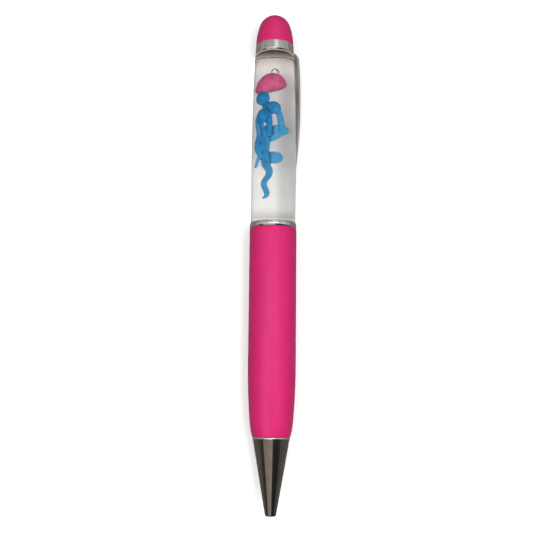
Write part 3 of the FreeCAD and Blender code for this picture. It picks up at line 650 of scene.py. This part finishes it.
class PEN_OT_clip_band(bpy.types.Operator):
    """Makes the chrome band under the cap, with the window that the clip's tongue goes through"""

    bl_idname = "pen.clip_band"
    bl_label = "Clip band"

    def execute(self, context):
        bore, lip, widest, upper = 5.0, 5.24, 5.49, 5.4
        chamfer, top = BAND_BASE + 0.5, BAND_TOP - FIT
        half = section(
            *runs((bore, BAND_BASE), (lip, BAND_BASE), (widest, chamfer, 12), (upper, top)),
            *runs((upper, top), (bore, top, 12), (bore, BAND_BASE)),
            rounding=0.09,
        )
        piece = turned("turned_clip_band", half)
        half_height, half_width = 0.4, sizes().clip_width / 2 + 0.05
        corners = [
            (out, CLIP_TONGUE + level, across)
            for out in (4.6, 6.0)
            for level in (-half_height, half_height)
            for across in (-half_width, half_width)
        ]
        faces = [(0, 1, 3, 2), (4, 6, 7, 5), (0, 4, 5, 1), (2, 3, 7, 6), (0, 2, 6, 4), (1, 5, 7, 3)]
        cutter = mesh_object("tongue_window", to_world(on_clip_side(corners)), faces)
        cut = piece.modifiers.new("Window", "BOOLEAN")
        cut.operation = "DIFFERENCE"
        cut.solver = "EXACT"
        cut.object = cutter
        settle(piece)
        bpy.data.objects.remove(cutter)
        dress(piece, "upper_half", "chrome_trim", chrome_plate(), "clip_band")
        return {"FINISHED"}


class PEN_OT_pocket_clip(bpy.types.Operator):
    """Makes the sprung strip clip: tongue, shoulder, long arch and a tapered end pinched to the tube"""

    bl_idname = "pen.pocket_clip"
    bl_label = "Pocket clip"

    def execute(self, context):
        s = sizes()
        root, tongue, bend = (5.06, CLIP_TONGUE), (5.75, CLIP_TONGUE), (7.2, BAND_TOP - 3.5)
        arch, low, end = (7.65, BAND_TOP - 18.5), (6.7, BAND_TOP - 33.5), (6.9, CLIP_END)
        shoulder, pinch = (6.675, CLIP_TONGUE - 0.52), (6.58, BAND_TOP - 37.25)
        to_arch = [run(root, tongue, 4), arc(tongue, shoulder, bend, 20), arc(bend, arch, low, 70)]
        spine = np.vstack([*to_arch, arc(low, pinch, end, 20), [end]])
        total, close, tip = travelled(spine)[-1], 2.6, 1.5
        body = np.linspace(close + 0.15, total - tip - 0.1, 110)
        round_end = total - tip * (1 - np.sin(np.linspace(0, math.pi / 2, 24)))
        steps = np.concatenate([np.linspace(0, close, 26), body, round_end])
        line = along(spine, steps)
        tangent = unit(along(spine, steps + 0.05) - along(spine, steps - 0.05))
        normal = np.stack([tangent[:, 1], -tangent[:, 0]], -1)
        normal *= np.sign(normal[:, :1] + 1e-9)
        flat_tongue, taper_start, edge, thinning, thin_end = 0.8, BAND_TOP - 22.2, 0.22, 0.12, 0.35
        normal[steps < flat_tongue] = (0.0, 1.0)
        wide, narrow, left = s.clip_width / 2, s.clip_end_width / 2, total - steps
        taper = np.clip((taper_start - line[:, 1]) / (taper_start - CLIP_END - narrow), 0, 1)
        half_width = (wide + (narrow - wide) * taper) * np.sqrt(1 - np.clip(1 - left / narrow, 0, 1) ** 2)
        half_thick = s.clip_thickness / 2 * np.clip(left / thinning + thin_end, thin_end, 1)
        round_wide, round_thick = np.minimum(edge, half_width), np.minimum(edge, half_thick)
        quarter = np.linspace(0, math.pi / 2, 6)
        ring = []
        for sx, sz in ((1, 1), (-1, 1), (-1, -1), (1, -1)):
            turn = quarter if sx * sz > 0 else quarter[::-1]
            x = sx * ((half_width - round_wide)[:, None] + np.outer(round_wide, np.cos(turn)))
            z = sz * ((half_thick - round_thick)[:, None] + np.outer(round_thick, np.sin(turn)))
            ring.append(np.stack([x, z], -1))
        ring = np.concatenate(ring, axis=1)
        side_on = line[:, None] + normal[:, None] * ring[..., 1:]
        grid = to_world(on_clip_side(np.concatenate([side_on, ring[..., :1]], -1)))
        first, last = (rim.mean(axis=1, keepdims=True) + 0 * rim for rim in (grid[:1], grid[-1:]))
        piece = surface("bent_pocket_clip", np.concatenate([first, grid, last]), wrap_rows=False)
        dress(piece, "upper_half", "clip_steel", spring_steel(), "pocket_clip")
        return {"FINISHED"}


class PEN_OT_clear_tube(bpy.types.Operator):
    """Makes the clear tube, with its outer wall against air and its chamber wall against oil"""

    bl_idname = "pen.clear_tube"
    bl_label = "Clear tube"

    def execute(self, context):
        s = sizes()
        hollow, spigot, neck, chamber = 3.62, 4.9, 4.99, s.chamber_radius
        base, top, neck_top = RING_TOP, BAND_BASE, BAND_BASE + 2.68
        floor_low, floor_high, corner = RING_TOP + 0.5, RING_TOP + 1.8, 0.6
        foot, shoulder, middle = (s.tube_base_radius, base), (s.tube_top_radius, top), (6.2, (base + top) / 2)
        half = section(
            *runs((hollow, TUBE_END), (spigot, TUBE_END, 4), (spigot, base), foot),
            arc(foot, middle, shoulder, 64),
            *runs(shoulder, (neck, top), (neck, neck_top), (chamber, neck_top)),
            *runs((chamber, neck_top, 32), (chamber, floor_high + corner)),
            *runs((chamber, floor_high + corner), (chamber - corner, floor_high, 6), (0, floor_high)),
            *runs((0, floor_high), (0, floor_low), (hollow, floor_low, 4), (hollow, TUBE_END)),
            rounding=s.edge_rounding,
        )
        piece = turned("clear_tube_wall", half, 256)
        dress(piece, "upper_half", "clear_acrylic", acrylic_outside(), "clear_tube")
        deepest, lowest = chamber + 0.02, floor_high - 0.05
        dress_faces(piece, acrylic_against_oil(), lambda radius, level: (radius < deepest) & (level > lowest))
        return {"FINISHED"}


class PEN_OT_chamber_stopper(bpy.types.Operator):
    """Makes the rubber stopper that closes the chamber"""

    bl_idname = "pen.chamber_stopper"
    bl_label = "Chamber stopper"

    def execute(self, context):
        radius, boss, face, dish = sizes().chamber_radius - FIT, 3.43, 3.2, 0.12
        base, step, top = STOPPER_BASE + 0.3, STOPPER_BASE + 0.42, STOPPER_TOP - 0.01
        half = section(
            arc((0, base + dish), (face / 2, base + 0.75 * dish), (face, base), 20),
            *runs((face, base), (boss, base), (boss, step), (radius, step), (radius, top)),
            *runs((radius, top), (0, top), (0, base + dish)),
            rounding=0.05,
        )
        piece = turned("rubber_stopper", half)
        dress(piece, "upper_half", "stopper_rubber", maroon_rubber(), "chamber_stopper")
        # Painted light: a pale rubber on the stopper's step and the side below it.
        painted_pale_rim, inner, upper = rubber("Painted pale rim", "C9B4AE", "E0CFC8"), boss + 0.03, step + 0.3
        dress_faces(piece, painted_pale_rim, lambda radius, level: (radius > inner) & (level < upper))
        return {"FINISHED"}


class PEN_OT_centre_ring(bpy.types.Operator):
    """Makes the chrome ring between the halves"""

    bl_idname = "pen.centre_ring"
    bl_label = "Centre ring"

    def execute(self, context):
        bore, edge, crest = 4.92, 6.3, sizes().barrel_radius
        low, high = RING_BASE, RING_TOP - 0.015
        half = section(
            *runs((bore, low), (edge, low)),
            arc((edge, low), (crest, (low + high) / 2), (edge, high), 14),
            *runs((edge, high), (bore, high), (bore, low)),
            rounding=0.08,
        )
        piece = turned("turned_centre_ring", half)
        dress(piece, "upper_half", "chrome_trim", chrome_plate(), "centre_ring")
        return {"FINISHED"}


class PEN_OT_lower_barrel(bpy.types.Operator):
    """Makes the lacquered barrel: straight above, drawn in over a soft shoulder to the nib"""

    bl_idname = "pen.lower_barrel"
    bl_label = "Lower barrel"

    def execute(self, context):
        s = sizes()
        radius, base, top = s.barrel_radius, BARREL_BASE, BARREL_TOP
        hole, seat, neck, shoulder, wall = 4.45, 4.9, 5.25, 5.95, radius - 0.55
        drawn, straight = base + 4.8, base + 19.2
        neck_bulge = ((neck + shoulder) / 2 + 0.1, base + 2.4)
        shoulder_bulge = (0.25 * shoulder + 0.75 * radius, base + 12.0)
        ledge, seat_end, wall_end = base + SHANK_LENGTH, base + 11.7, base + 13.3
        outside = [
            arc((neck, base), neck_bulge, (shoulder, drawn), 24),
            arc((shoulder, drawn), shoulder_bulge, (radius, straight), 48),
            run((radius, straight), (radius, top), 40),
        ]
        half = section(
            *runs((hole, base), (neck, base)),
            np.vstack(outside),
            *runs((radius, top), (wall, top, 20), (wall, wall_end), (seat, seat_end), (seat, ledge)),
            *runs((seat, ledge), (hole, ledge), (hole, base)),
            rounding=s.edge_rounding,
        )
        piece = turned("lacquered_barrel", half, 224)
        dress(piece, "lower_half", "lacquered_brass", barrel_lacquer(), "lower_barrel")
        return {"FINISHED"}


class PEN_OT_nib_cone(bpy.types.Operator):
    """Makes the turned nib: a straight cone, the bright bead at its top, its thread's shank and its bore"""

    bl_idname = "pen.nib_cone"
    bl_label = "Nib cone"

    def execute(self, context):
        mouth, rim, cone_end, root, crest = 0.95, 1.25, 1.52, 4.95, 5.1
        shank, thread, hollow, guide = 4.44, 3.9, 2.9, 1.35
        base, bead, top = BARREL_BASE, BARREL_BASE - 0.7, BARREL_BASE - 0.015
        shank_end, thread_end = base + SHANK_LENGTH, base + 9.2
        hollow_end, guide_end, mouth_end = 15.0, 4.0, 3.6
        cone = [arc((rim, 0), (1.43, 0.12), (cone_end, 0.35), 8), run((cone_end, 0.35), (root, bead), 64)]
        half = section(
            *runs((mouth, 0), (rim, 0)),
            np.vstack(cone),
            arc((root, bead), (crest, (bead + base) / 2), (root, top), 12),
            *runs((root, top), (shank, top), (shank, shank_end), (thread, shank_end), (thread, thread_end)),
            *runs((thread, thread_end), (hollow, thread_end), (hollow, hollow_end), (guide, hollow_end)),
            *runs((guide, hollow_end), (guide, guide_end), (mouth, mouth_end), (mouth, 0)),
            rounding=0.06,
        )
        piece = turned("turned_nib", half)
        dress(piece, "lower_half", "dark_chrome", dark_chrome_plate(), "nib_cone")
        dress_faces(piece, chrome_plate(), lambda radius, level: (level > bead + 0.02) & (level < base))
        return {"FINISHED"}


# The figure's bell: its rim's level, its middle's place from the axis and that level, the turn and the
# slant of its rim, the depth of its skirt, and the powers of its crown and skirt.
BELL_BASE = STOPPER_BASE - 9.5
BELL_PLACE = (-0.64, -0.30)
BELL_TURN = math.radians(4.3)
BELL_SLANT = 0.226
BELL_SKIRT = 1.47
CROWN_POWER, SKIRT_POWER = 1.96, 1.73


def bell_grid(radius, height, around=144, down=36):
    """The bell as a grid: round it and from its crown over the rim to the middle of its underside.

    Crown and skirt are quarters of a superellipse, r = R cos(t)^(2/n) and z = H sin(t)^(2/n), with n a
    little under an ellipse's 2, which gives the bell its narrow rim.
    """

    def quarter(tall, power, angles):
        powers = [np.abs(wave(angles)) ** (2 / power) for wave in (np.cos, np.sin)]
        return np.column_stack([radius * powers[0], tall * powers[1]])

    crown = quarter(height, CROWN_POWER, np.linspace(math.pi / 2, 0, down))
    skirt = quarter(-BELL_SKIRT, SKIRT_POWER, np.linspace(0, math.pi / 2, down)[1:])
    r, z = np.vstack([crown, skirt]).T
    r[[0, -1]] = 0
    return revolve(r, z, around)


class PEN_OT_jelly_bell(bpy.types.Operator):
    """Makes the figure's soft bell"""

    bl_idname = "pen.jelly_bell"
    bl_label = "Jelly bell"

    def execute(self, context):
        across, up, near = np.moveaxis(bell_grid(sizes().bell_radius, sizes().bell_height), -1, 0)
        up = up + BELL_SLANT * across
        side = across * math.cos(BELL_TURN) - up * math.sin(BELL_TURN) + BELL_PLACE[0]
        level = across * math.sin(BELL_TURN) + up * math.cos(BELL_TURN) + BELL_BASE + BELL_PLACE[1]
        grid = to_world(np.stack([side, level, near], -1))
        piece = surface("soft_bell", grid, wrap_columns=False, sharp=80)
        rose = silicone("Rose silicone", colour("9E4468"), tuple(finishes().bell_colour))
        dress(piece, "floater", "bell_silicone", rose, "jelly_bell")
        return {"FINISHED"}


# Lobes: half width, half height and half depth, the angle that their height leans to the right, then
# their place. Limbs: places with a radius each. A place is millimetres to the side of the pen's axis,
# below the bell's base, and towards the viewer.
LOBES = [
    (1.46, 1.98, 1.35, 0, -2.30, 3.55, 0.3),
    (1.45, 1.85, 1.15, -12, -0.10, 6.40, 0.5),
    (1.36, 2.40, 1.20, 15, -2.35, 8.85, 0.6),
    (1.20, 1.30, 0.70, 0, 1.70, 12.90, 0.0),
    (1.75, 1.75, 0.66, 0, 0.45, 13.15, 0.0),
    (1.20, 2.55, 0.64, 42, 0.35, 14.20, 0.0),
    (1.15, 3.20, 0.95, 0, -2.30, 16.40, 0.1),
    (1.30, 2.30, 1.00, 0, -2.35, 17.60, 0.1),
    (1.80, 1.75, 0.75, 8, -0.05, 20.80, 0.0),
]
LIMBS = [
    [(-1.70, 0.60, 0.1, 0.8), (-2.10, 2.50, 0.2, 0.9), (-2.25, 3.60, 0.3, 1.0)],
    [(-1.90, 4.60, 0.2, 0.7), (-1.30, 5.40, 0.4, 0.75), (-0.40, 6.20, 0.5, 0.9)],
    [(-1.90, 4.90, -0.1, 0.7), (-1.50, 6.40, 0.3, 0.7), (-1.10, 8.00, 0.5, 0.66), (-0.95, 11.0, 0.6, 0.66),
     (-1.05, 14.2, 0.5, 0.62)],
    [(0.55, 7.00, 0.3, 0.70), (0.95, 8.20, 0.2, 0.66), (1.18, 9.80, 0.1, 0.66), (1.40, 11.5, 0.0, 0.64),
     (1.50, 12.8, 0.0, 0.6)],
    [(-3.45, 9.50, 0.3, 0.5), (-3.42, 10.9, 0.3, 0.52), (-3.00, 12.8, 0.2, 0.60), (-2.95, 14.4, 0.3, 0.62),
     (-3.28, 16.2, 0.3, 0.70), (-3.34, 17.9, 0.2, 0.76), (-2.75, 19.4, 0.1, 0.75), (-2.10, 20.7, 0.1, 0.75)],
    [(-2.55, 11.2, 0.5, 0.40), (-2.05, 12.6, 0.5, 0.60), (-1.80, 14.6, 0.3, 0.72), (-1.55, 16.2, 0.2, 0.80),
     (-1.60, 18.0, 0.2, 0.80), (-1.70, 19.6, 0.2, 0.85), (-1.50, 21.0, 0.2, 0.90)],
    [(-2.50, 19.6, 0.1, 0.5), (-2.89, 20.8, 0.1, 0.42), (-3.30, 22.1, 0.1, 0.38), (-3.62, 23.3, 0.1, 0.38)],
    [(-1.55, 21.4, 0.1, 0.95), (-1.40, 23.0, 0.1, 0.85), (-0.86, 24.6, 0.1, 0.72), (-0.98, 26.0, 0.1, 0.66),
     (-1.62, 27.3, 0.1, 0.64), (-1.88, 28.4, 0.1, 0.62), (-1.58, 29.7, 0.1, 0.60), (-1.26, 30.9, 0.1, 0.56),
     (-1.36, 31.8, 0.1, 0.44), (-1.85, 32.3, 0.1, 0.32)],
]


def smooth_route(points, count):
    """Carries a smooth line through points, each a row of values.

    Between two points P1 and P2 the line is the cubic with the slopes (P2 - P0) / 2 and (P3 - P1) / 2.
    """
    points = np.asarray(points, float)
    padded = np.vstack([2 * points[0] - points[1], points, 2 * points[-1] - points[-2]])
    t = np.linspace(0, 1, count, endpoint=False)[:, None]
    parts = []
    for p0, p1, p2, p3 in zip(padded, padded[1:], padded[2:], padded[3:]):
        square, cube = 2 * p0 - 5 * p1 + 4 * p2 - p3, 3 * p1 - p0 - 3 * p2 + p3
        parts.append((2 * p1 + (p2 - p0) * t + square * t**2 + cube * t**3) / 2)
    return np.vstack(parts + [points[-1:]])


def figure_place(side, below, near):
    """Turns a place of the figure into the pen's own millimetres: across, along and up."""
    return (side, BELL_BASE - below, near)


def limb_grid(rows, sides=20):
    """A round limb of changing radius along a smooth route, with a half ball at each end.

    Its rings stand square to the route: one axis of each ring is the route's direction crossed with
    the pen's upward axis, and the other is square to both.
    """
    route = smooth_route([(*figure_place(*row[:3]), row[3]) for row in rows], 8)
    line, radius = route[:, :3], route[:, 3]
    ball = np.linspace(-math.pi / 2, 0, 6, endpoint=False)
    first, last = unit(line[0] - line[1]), unit(line[-1] - line[-2])
    head = line[0] - first * np.sin(ball)[:, None] * radius[0]
    tail = line[-1] - last * np.sin(ball[::-1])[:, None] * radius[-1]
    line = np.vstack([head, line, tail])
    radius = np.concatenate([np.cos(ball) * radius[0], radius, np.cos(ball[::-1]) * radius[-1]])
    direction = unit(np.gradient(line, axis=0))
    side = unit(np.cross(direction, (0.0, 0.0, 1.0)))
    other = np.cross(side, direction)
    angle = round_turn(sides)
    ring = np.cos(angle) * side[:, None] + np.sin(angle) * other[:, None]
    return line[:, None] + radius[:, None, None] * ring


def mark_painted_crease_shade(piece, depth_mm, rounds=24):
    """Writes how deep each point lies in a crease as an attribute for painted shade, from 0 on a crest to 1
    in a crease.

    Each point's neighbours are averaged over and over. Where the averaged surface stands outside the
    real one the point lies in a crease, and where it stands inside the point is on a crest.
    """
    mesh = piece.data
    places, normals = rows_of(mesh.vertices, "co", 3), rows_of(mesh.vertices, "normal", 3)
    ends = rows_of(mesh.edges, "vertices", 2, np.int64)
    first, second = ends.T
    count = np.bincount(ends.ravel(), minlength=len(places))[:, None]
    even = places.copy()
    for _ in range(rounds):
        sums = [
            np.bincount(first, even[second, k], len(even)) + np.bincount(second, even[first, k], len(even))
            for k in range(3)
        ]
        even = np.stack(sums, -1) / count
    rise = ((even - places) * normals).sum(axis=1) / (depth_mm * MM)
    # The arms' material darkens the points that this marks: painted shade.
    fold = mesh.attributes.new("fold", "FLOAT", "POINT")
    fold.data.foreach_set("value", np.clip(0.5 + rise / 2, 0, 1).astype(np.float32))


class PEN_OT_jelly_arms(bpy.types.Operator):
    """Makes the figure's soft arms: lobes and limbs blended to one moulding"""

    bl_idname = "pen.jelly_arms"
    bl_label = "Jelly arms"

    def execute(self, context):
        parts = [surface("limb", to_world(limb_grid(rows)), wrap_rows=False) for rows in LIMBS]
        lobes = [figure_place(*row[4:]) + oval(*row[:4]) for row in LOBES]
        parts += [surface("lobe", to_world(lobe), wrap_columns=False) for lobe in lobes]
        whole = bmesh.new()
        for part in parts:
            whole.from_mesh(part.data)
            bpy.data.objects.remove(part)
        mesh = bpy.data.meshes.new("soft_arms")
        whole.to_mesh(mesh)
        whole.free()
        piece = put("soft_arms", mesh)
        blend = piece.modifiers.new("Blend", "REMESH")
        blend.mode = "VOXEL"
        blend.voxel_size = sizes().voxel * MM
        relax = piece.modifiers.new("Relax", "SMOOTH")
        relax.factor = 0.5
        relax.iterations = 4
        settle(piece)
        piece.data.shade_smooth()
        mark_painted_crease_shade(piece, 0.12)
        dress(piece, "floater", "arm_silicone", blue_silicone(), "jelly_arms")
        return {"FINISHED"}


class PEN_OT_air_bubble(bpy.types.Operator):
    """Makes the small air bubble left in the oil, pressed flat against the chamber's wall"""

    bl_idname = "pen.air_bubble"
    bl_label = "Air bubble"

    def execute(self, context):
        wide, tall, deep = 0.54, 1.20, 0.45
        place = (0.10, STOPPER_BASE - 4.5, -(sizes().chamber_radius - deep - 0.05))
        grid = place + oval(wide, tall, deep, around=48, down=33, fullness=1.0)
        piece = surface("air_bubble", to_world(grid), wrap_columns=False, sharp=80)
        dress(piece, "upper_half", "clear_acrylic", trapped_air())
        return {"FINISHED"}


class PEN_OT_inner_works(bpy.types.Operator):
    """Gives the twist mechanism and the refill, whose shapes stay as packed, their finishes"""

    bl_idname = "pen.inner_works"
    bl_label = "Inner works"

    def execute(self, context):
        turned_brass = ("tube_coupling", "mechanism_housing", "retaining_collar", "cam_sleeve", "nib_bush")
        wear = (
            (brass(), (*turned_brass, "refill_point")),
            (acetal(), ("drive_sleeve", "refill_plunger")),
            (plain_steel(), ("drive_pin", "writing_ball")),
            (refill_metal(), ("refill_tube",)),
            (rubber("Black rubber", "141414", "242424"), ("drag_ring",)),
        )
        for material, nodes in wear:
            for node in nodes:
                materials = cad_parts[node].data.materials
                materials.clear()
                materials.append(material)
        return {"FINISHED"}


def soft_lamp(name, place, aim, width, length, power, tint, mirrored):
    """Adds a soft rectangular lamp. Place and aim are metres; mirrored tells if gloss shows the lamp."""
    data = bpy.data.lights.new(name, "AREA")
    data.shape = "RECTANGLE"
    data.size, data.size_y = width, length
    data.energy = power
    data.color = tint
    lamp = put(name, data)
    direction = unit(np.subtract(aim, place))
    side = unit(np.cross(direction, (0, 1, 0)))
    up = np.cross(side, direction)
    lamp.matrix_world = Matrix([[side[i], up[i], -direction[i], place[i]] for i in range(3)] + [[0, 0, 0, 1]])
    lamp.visible_glossy = mirrored
    lamp.visible_camera = False


# The room's light by the angle across the pen, in degrees from straight up: its brightness and its tint,
# round the nib's end, the middle and the cap's end.
WARM, MINT, CREAM = (1.0, 0.95, 0.9), (0.85, 1.0, 0.95), (1.0, 1.0, 0.92)
SAND, PEARL, PALE = (1.0, 0.93, 0.86), (1.0, 0.98, 0.94), (1.0, 1.0, 0.95)
ROSE, PEACH, SHELL, LINEN = (1.0, 0.96, 0.94), (1.0, 0.96, 0.92), (1.0, 0.98, 0.95), (1.0, 0.97, 0.94)
NIB_END = (
    (-180, 0.2, WHITE), (-96, 0.30, WHITE), (-78, 0.10, WHITE), (-58, 0.04, WHITE), (-50, 0.62, SAND),
    (6, 0.82, WARM), (14, 0.06, MINT), (62, 0.05, MINT), (72, 0.22, WHITE), (84, 0.12, WHITE),
    (96, 0.30, WHITE), (180, 0.2, WHITE),
)
MIDDLE = (
    (-180, 0.5, WHITE), (-100, 0.40, CREAM), (-72, 0.50, CREAM), (-40, 0.72, PEARL), (-22, 0.62, PEARL),
    (-12, 1.0, WHITE), (20, 1.0, WHITE), (32, 0.62, PALE), (52, 0.86, PALE), (74, 0.45, WHITE),
    (100, 0.40, WHITE), (180, 0.5, WHITE),
)
CAP_END = (
    (-180, 0.4, WHITE), (-84, 0.38, ROSE), (-50, 0.38, PEACH), (-20, 0.48, PEARL), (-4, 0.52, WHITE),
    (2, 0.86, WHITE), (18, 0.86, WHITE), (26, 0.50, SHELL), (50, 0.48, LINEN), (66, 0.36, WHITE),
    (84, 0.42, WHITE), (180, 0.4, WHITE),
)


def studio_world():
    """A dim room with a long pale ceiling strip, which gives turned metal its bright and dark bands.

    The strip runs along the pen. Its brightness follows the angle across the pen from straight up.
    """
    world = bpy.data.worlds.new("Studio")
    bpy.context.scene.world = world
    world.use_nodes = True
    tree = world.node_tree
    tree.nodes.clear()
    way = add(tree, "TexCoord", output="Generated")
    parts = add(tree, "SeparateXYZ", {"Vector": way}).node.outputs
    across = add(tree, "Math", {0: parts["X"], 1: parts["Z"]}, operation="ARCTAN2")
    place = add(tree, "MapRange", {"Value": across, "From Min": -math.pi, "From Max": math.pi})
    bands = []
    for rows in (NIB_END, MIDDLE, CAP_END):
        stops = [((degrees + 180) / 360, shade(tint, level)) for degrees, level, tint in rows]
        bands.append(add(tree, "ValToRGB", {"Fac": place}, stops=stops))
    light = bands[0]
    for (near, far), following in zip(((-0.4, -0.15), (0.24, 0.34)), bands[1:]):
        share = share_along(tree, "Y", near, far, "Generated", interpolation_type="SMOOTHSTEP")
        light = add(tree, "Mix", {"Factor": share, FIRST: light, SECOND: following}, **OF_COLOURS)
    light = add(tree, "Background", {"Color": light, "Strength": 1.0})
    add(tree, "OutputWorld", {"Surface": light})


# Painted shade on the paper where it shows through the clear tube: how light it is from the ring's end to the
# band's, as shares of the way.
PAINTED_TUBE_SHADE = (
    (0.00, (0.93, 0.94, 0.92)),
    (0.08, (0.86, 0.87, 0.85)),
    (0.14, (0.74, 0.76, 0.74)),
    (0.26, (0.75, 0.77, 0.75)),
    (0.36, (0.68, 0.70, 0.71)),
    (0.75, (0.71, 0.70, 0.70)),
    (0.86, (0.76, 0.73, 0.71)),
    (0.90, (0.68, 0.64, 0.62)),
    (0.95, (0.50, 0.47, 0.45)),
)


def floor_paper():
    """White seamless paper: matt, with a faint tooth. It is painted dark for every ray but the camera's, so
    it lights and mirrors in the pen dimly: painted shade.

    The paper that shows through the clear tube is painted with shade:
    towards the cap and on the clip's side it reads greyer.
    """

    def lit(tree, _):
        middle = float(ORIGIN[0])
        path = add(tree, "LightPath").node.outputs
        # Painted shade: greyer on the clip's side of the tube.
        painted_side_shade = ((0.0, WHITE), (1.0, (0.72, 0.73, 0.73)))
        # Painted shade: the paper is dark for every ray but the camera's, and white for the camera.
        painted_dim = ((0.0, (0.15, 0.15, 0.15)), (1.0, (0.96, 0.96, 0.96)))
        ways = (
            (share_along(tree, "Y", 0.010, 0.062), PAINTED_TUBE_SHADE),
            (share_along(tree, "X", middle + 0.1 * MM, middle + 0.9 * MM), painted_side_shade),
            (path["Is Camera Ray"], painted_dim),
        )
        lights = []
        for way, rows in ways:
            stops = [(place, shade(light, 1)) for place, light in rows]
            lights.append(add(tree, "ValToRGB", {"Fac": way}, stops=stops))
        both = {"Factor": 1.0, FIRST: lights[0], SECOND: lights[1]}
        shaded = add(tree, "Mix", both, blend_type="MULTIPLY", **OF_COLOURS)
        choice = {"Factor": path["Is Transmission Ray"], FIRST: lights[2], SECOND: shaded}
        return add(tree, "Mix", choice, **OF_COLOURS)

    matt = {"Specular IOR Level": 0.1, "Roughness": 0.9}
    return finish("Seamless paper", matt, tone=lit, relief=((1.0, 3.0), 0.005))


class PEN_OT_stage(bpy.types.Operator):
    """Makes the pale floor, the soft lamps, the room and the camera"""

    bl_idname = "pen.stage"
    bl_label = "Stage"

    def execute(self, context):
        half = 3.0
        mesh = bpy.data.meshes.new("floor")
        corners = [(-half, -half, 0), (half, -half, 0), (half, half, 0), (-half, half, 0)]
        mesh.from_pydata(corners, [], [(0, 1, 2, 3)])
        floor = put("floor", mesh)
        floor.data.materials.append(floor_paper())
        studio_world()
        soft_lamp("key", (0.26, -0.16, 0.48), (0, 0, 0), 0.35, 0.4, 2.6, (1.0, 0.99, 0.98), False)
        soft_lamp("fill", (-0.30, -0.12, 0.46), (0, 0, 0), 0.4, 0.4, 1.8, (0.98, 0.99, 1.0), False)
        soft_lamp("overhead", (0.0, 0.05, 0.7), (0, 0.05, 0), 0.7, 0.1, 0.36, WHITE, True)
        context.scene.view_settings.view_transform = "Standard"
        context.scene.view_settings.look = "None"
        data = bpy.data.cameras.new("camera")
        data.lens = 54.44
        data.sensor_width = 36.0
        data.clip_start = 0.01
        data.clip_end = 20.0
        camera = put("camera", data)
        place, tilt, roll = to_world((-1.73, 34.29, 220.65)), math.radians(8.376), 0.0104
        turn = Matrix.Rotation(tilt, 4, "X") @ Matrix.Rotation(roll, 4, "Z")
        camera.matrix_world = Matrix.Translation(place.tolist()) @ turn
        context.scene.camera = camera
        return {"FINISHED"}


STEPS = (
    PEN_OT_stage,
    PEN_OT_dome_cap,
    PEN_OT_clip_band,
    PEN_OT_pocket_clip,
    PEN_OT_clear_tube,
    PEN_OT_chamber_stopper,
    PEN_OT_centre_ring,
    PEN_OT_lower_barrel,
    PEN_OT_nib_cone,
    PEN_OT_jelly_bell,
    PEN_OT_jelly_arms,
    PEN_OT_air_bubble,
    PEN_OT_inner_works,
)


class PEN_PT_panel(bpy.types.Panel):
    """Lists the sizes, the finishes and the steps of the pen"""

    bl_idname = "PEN_PT_panel"
    bl_label = "Floating Action Pen"
    bl_space_type = "VIEW_3D"
    bl_region_type = "UI"
    bl_category = "Pen"

    def draw(self, context):
        layout = self.layout
        for group in (context.scene.pen_sizes, context.scene.pen_finishes):
            box = layout.box()
            for name in group.__annotations__:
                box.prop(group, name)
        for step in STEPS:
            layout.operator(step.bl_idname)


CLASSES = (PenSizes, PenFinishes, *STEPS, PEN_PT_panel)


def register():
    """Registers the classes and puts the two groups of properties on the scene."""
    for item in CLASSES:
        bpy.utils.register_class(item)
    bpy.types.Scene.pen_sizes = bpy.props.PointerProperty(type=PenSizes)
    bpy.types.Scene.pen_finishes = bpy.props.PointerProperty(type=PenFinishes)


def unregister():
    """Takes the properties off the scene and the classes out again."""
    del bpy.types.Scene.pen_finishes
    del bpy.types.Scene.pen_sizes
    for item in reversed(CLASSES):
        bpy.utils.unregister_class(item)


def main():
    """Makes every piece in order."""
    register()
    for step in STEPS:
        group, name = step.bl_idname.split(".")
        getattr(getattr(bpy.ops, group), name)()


if __name__ == "__main__":
    main()
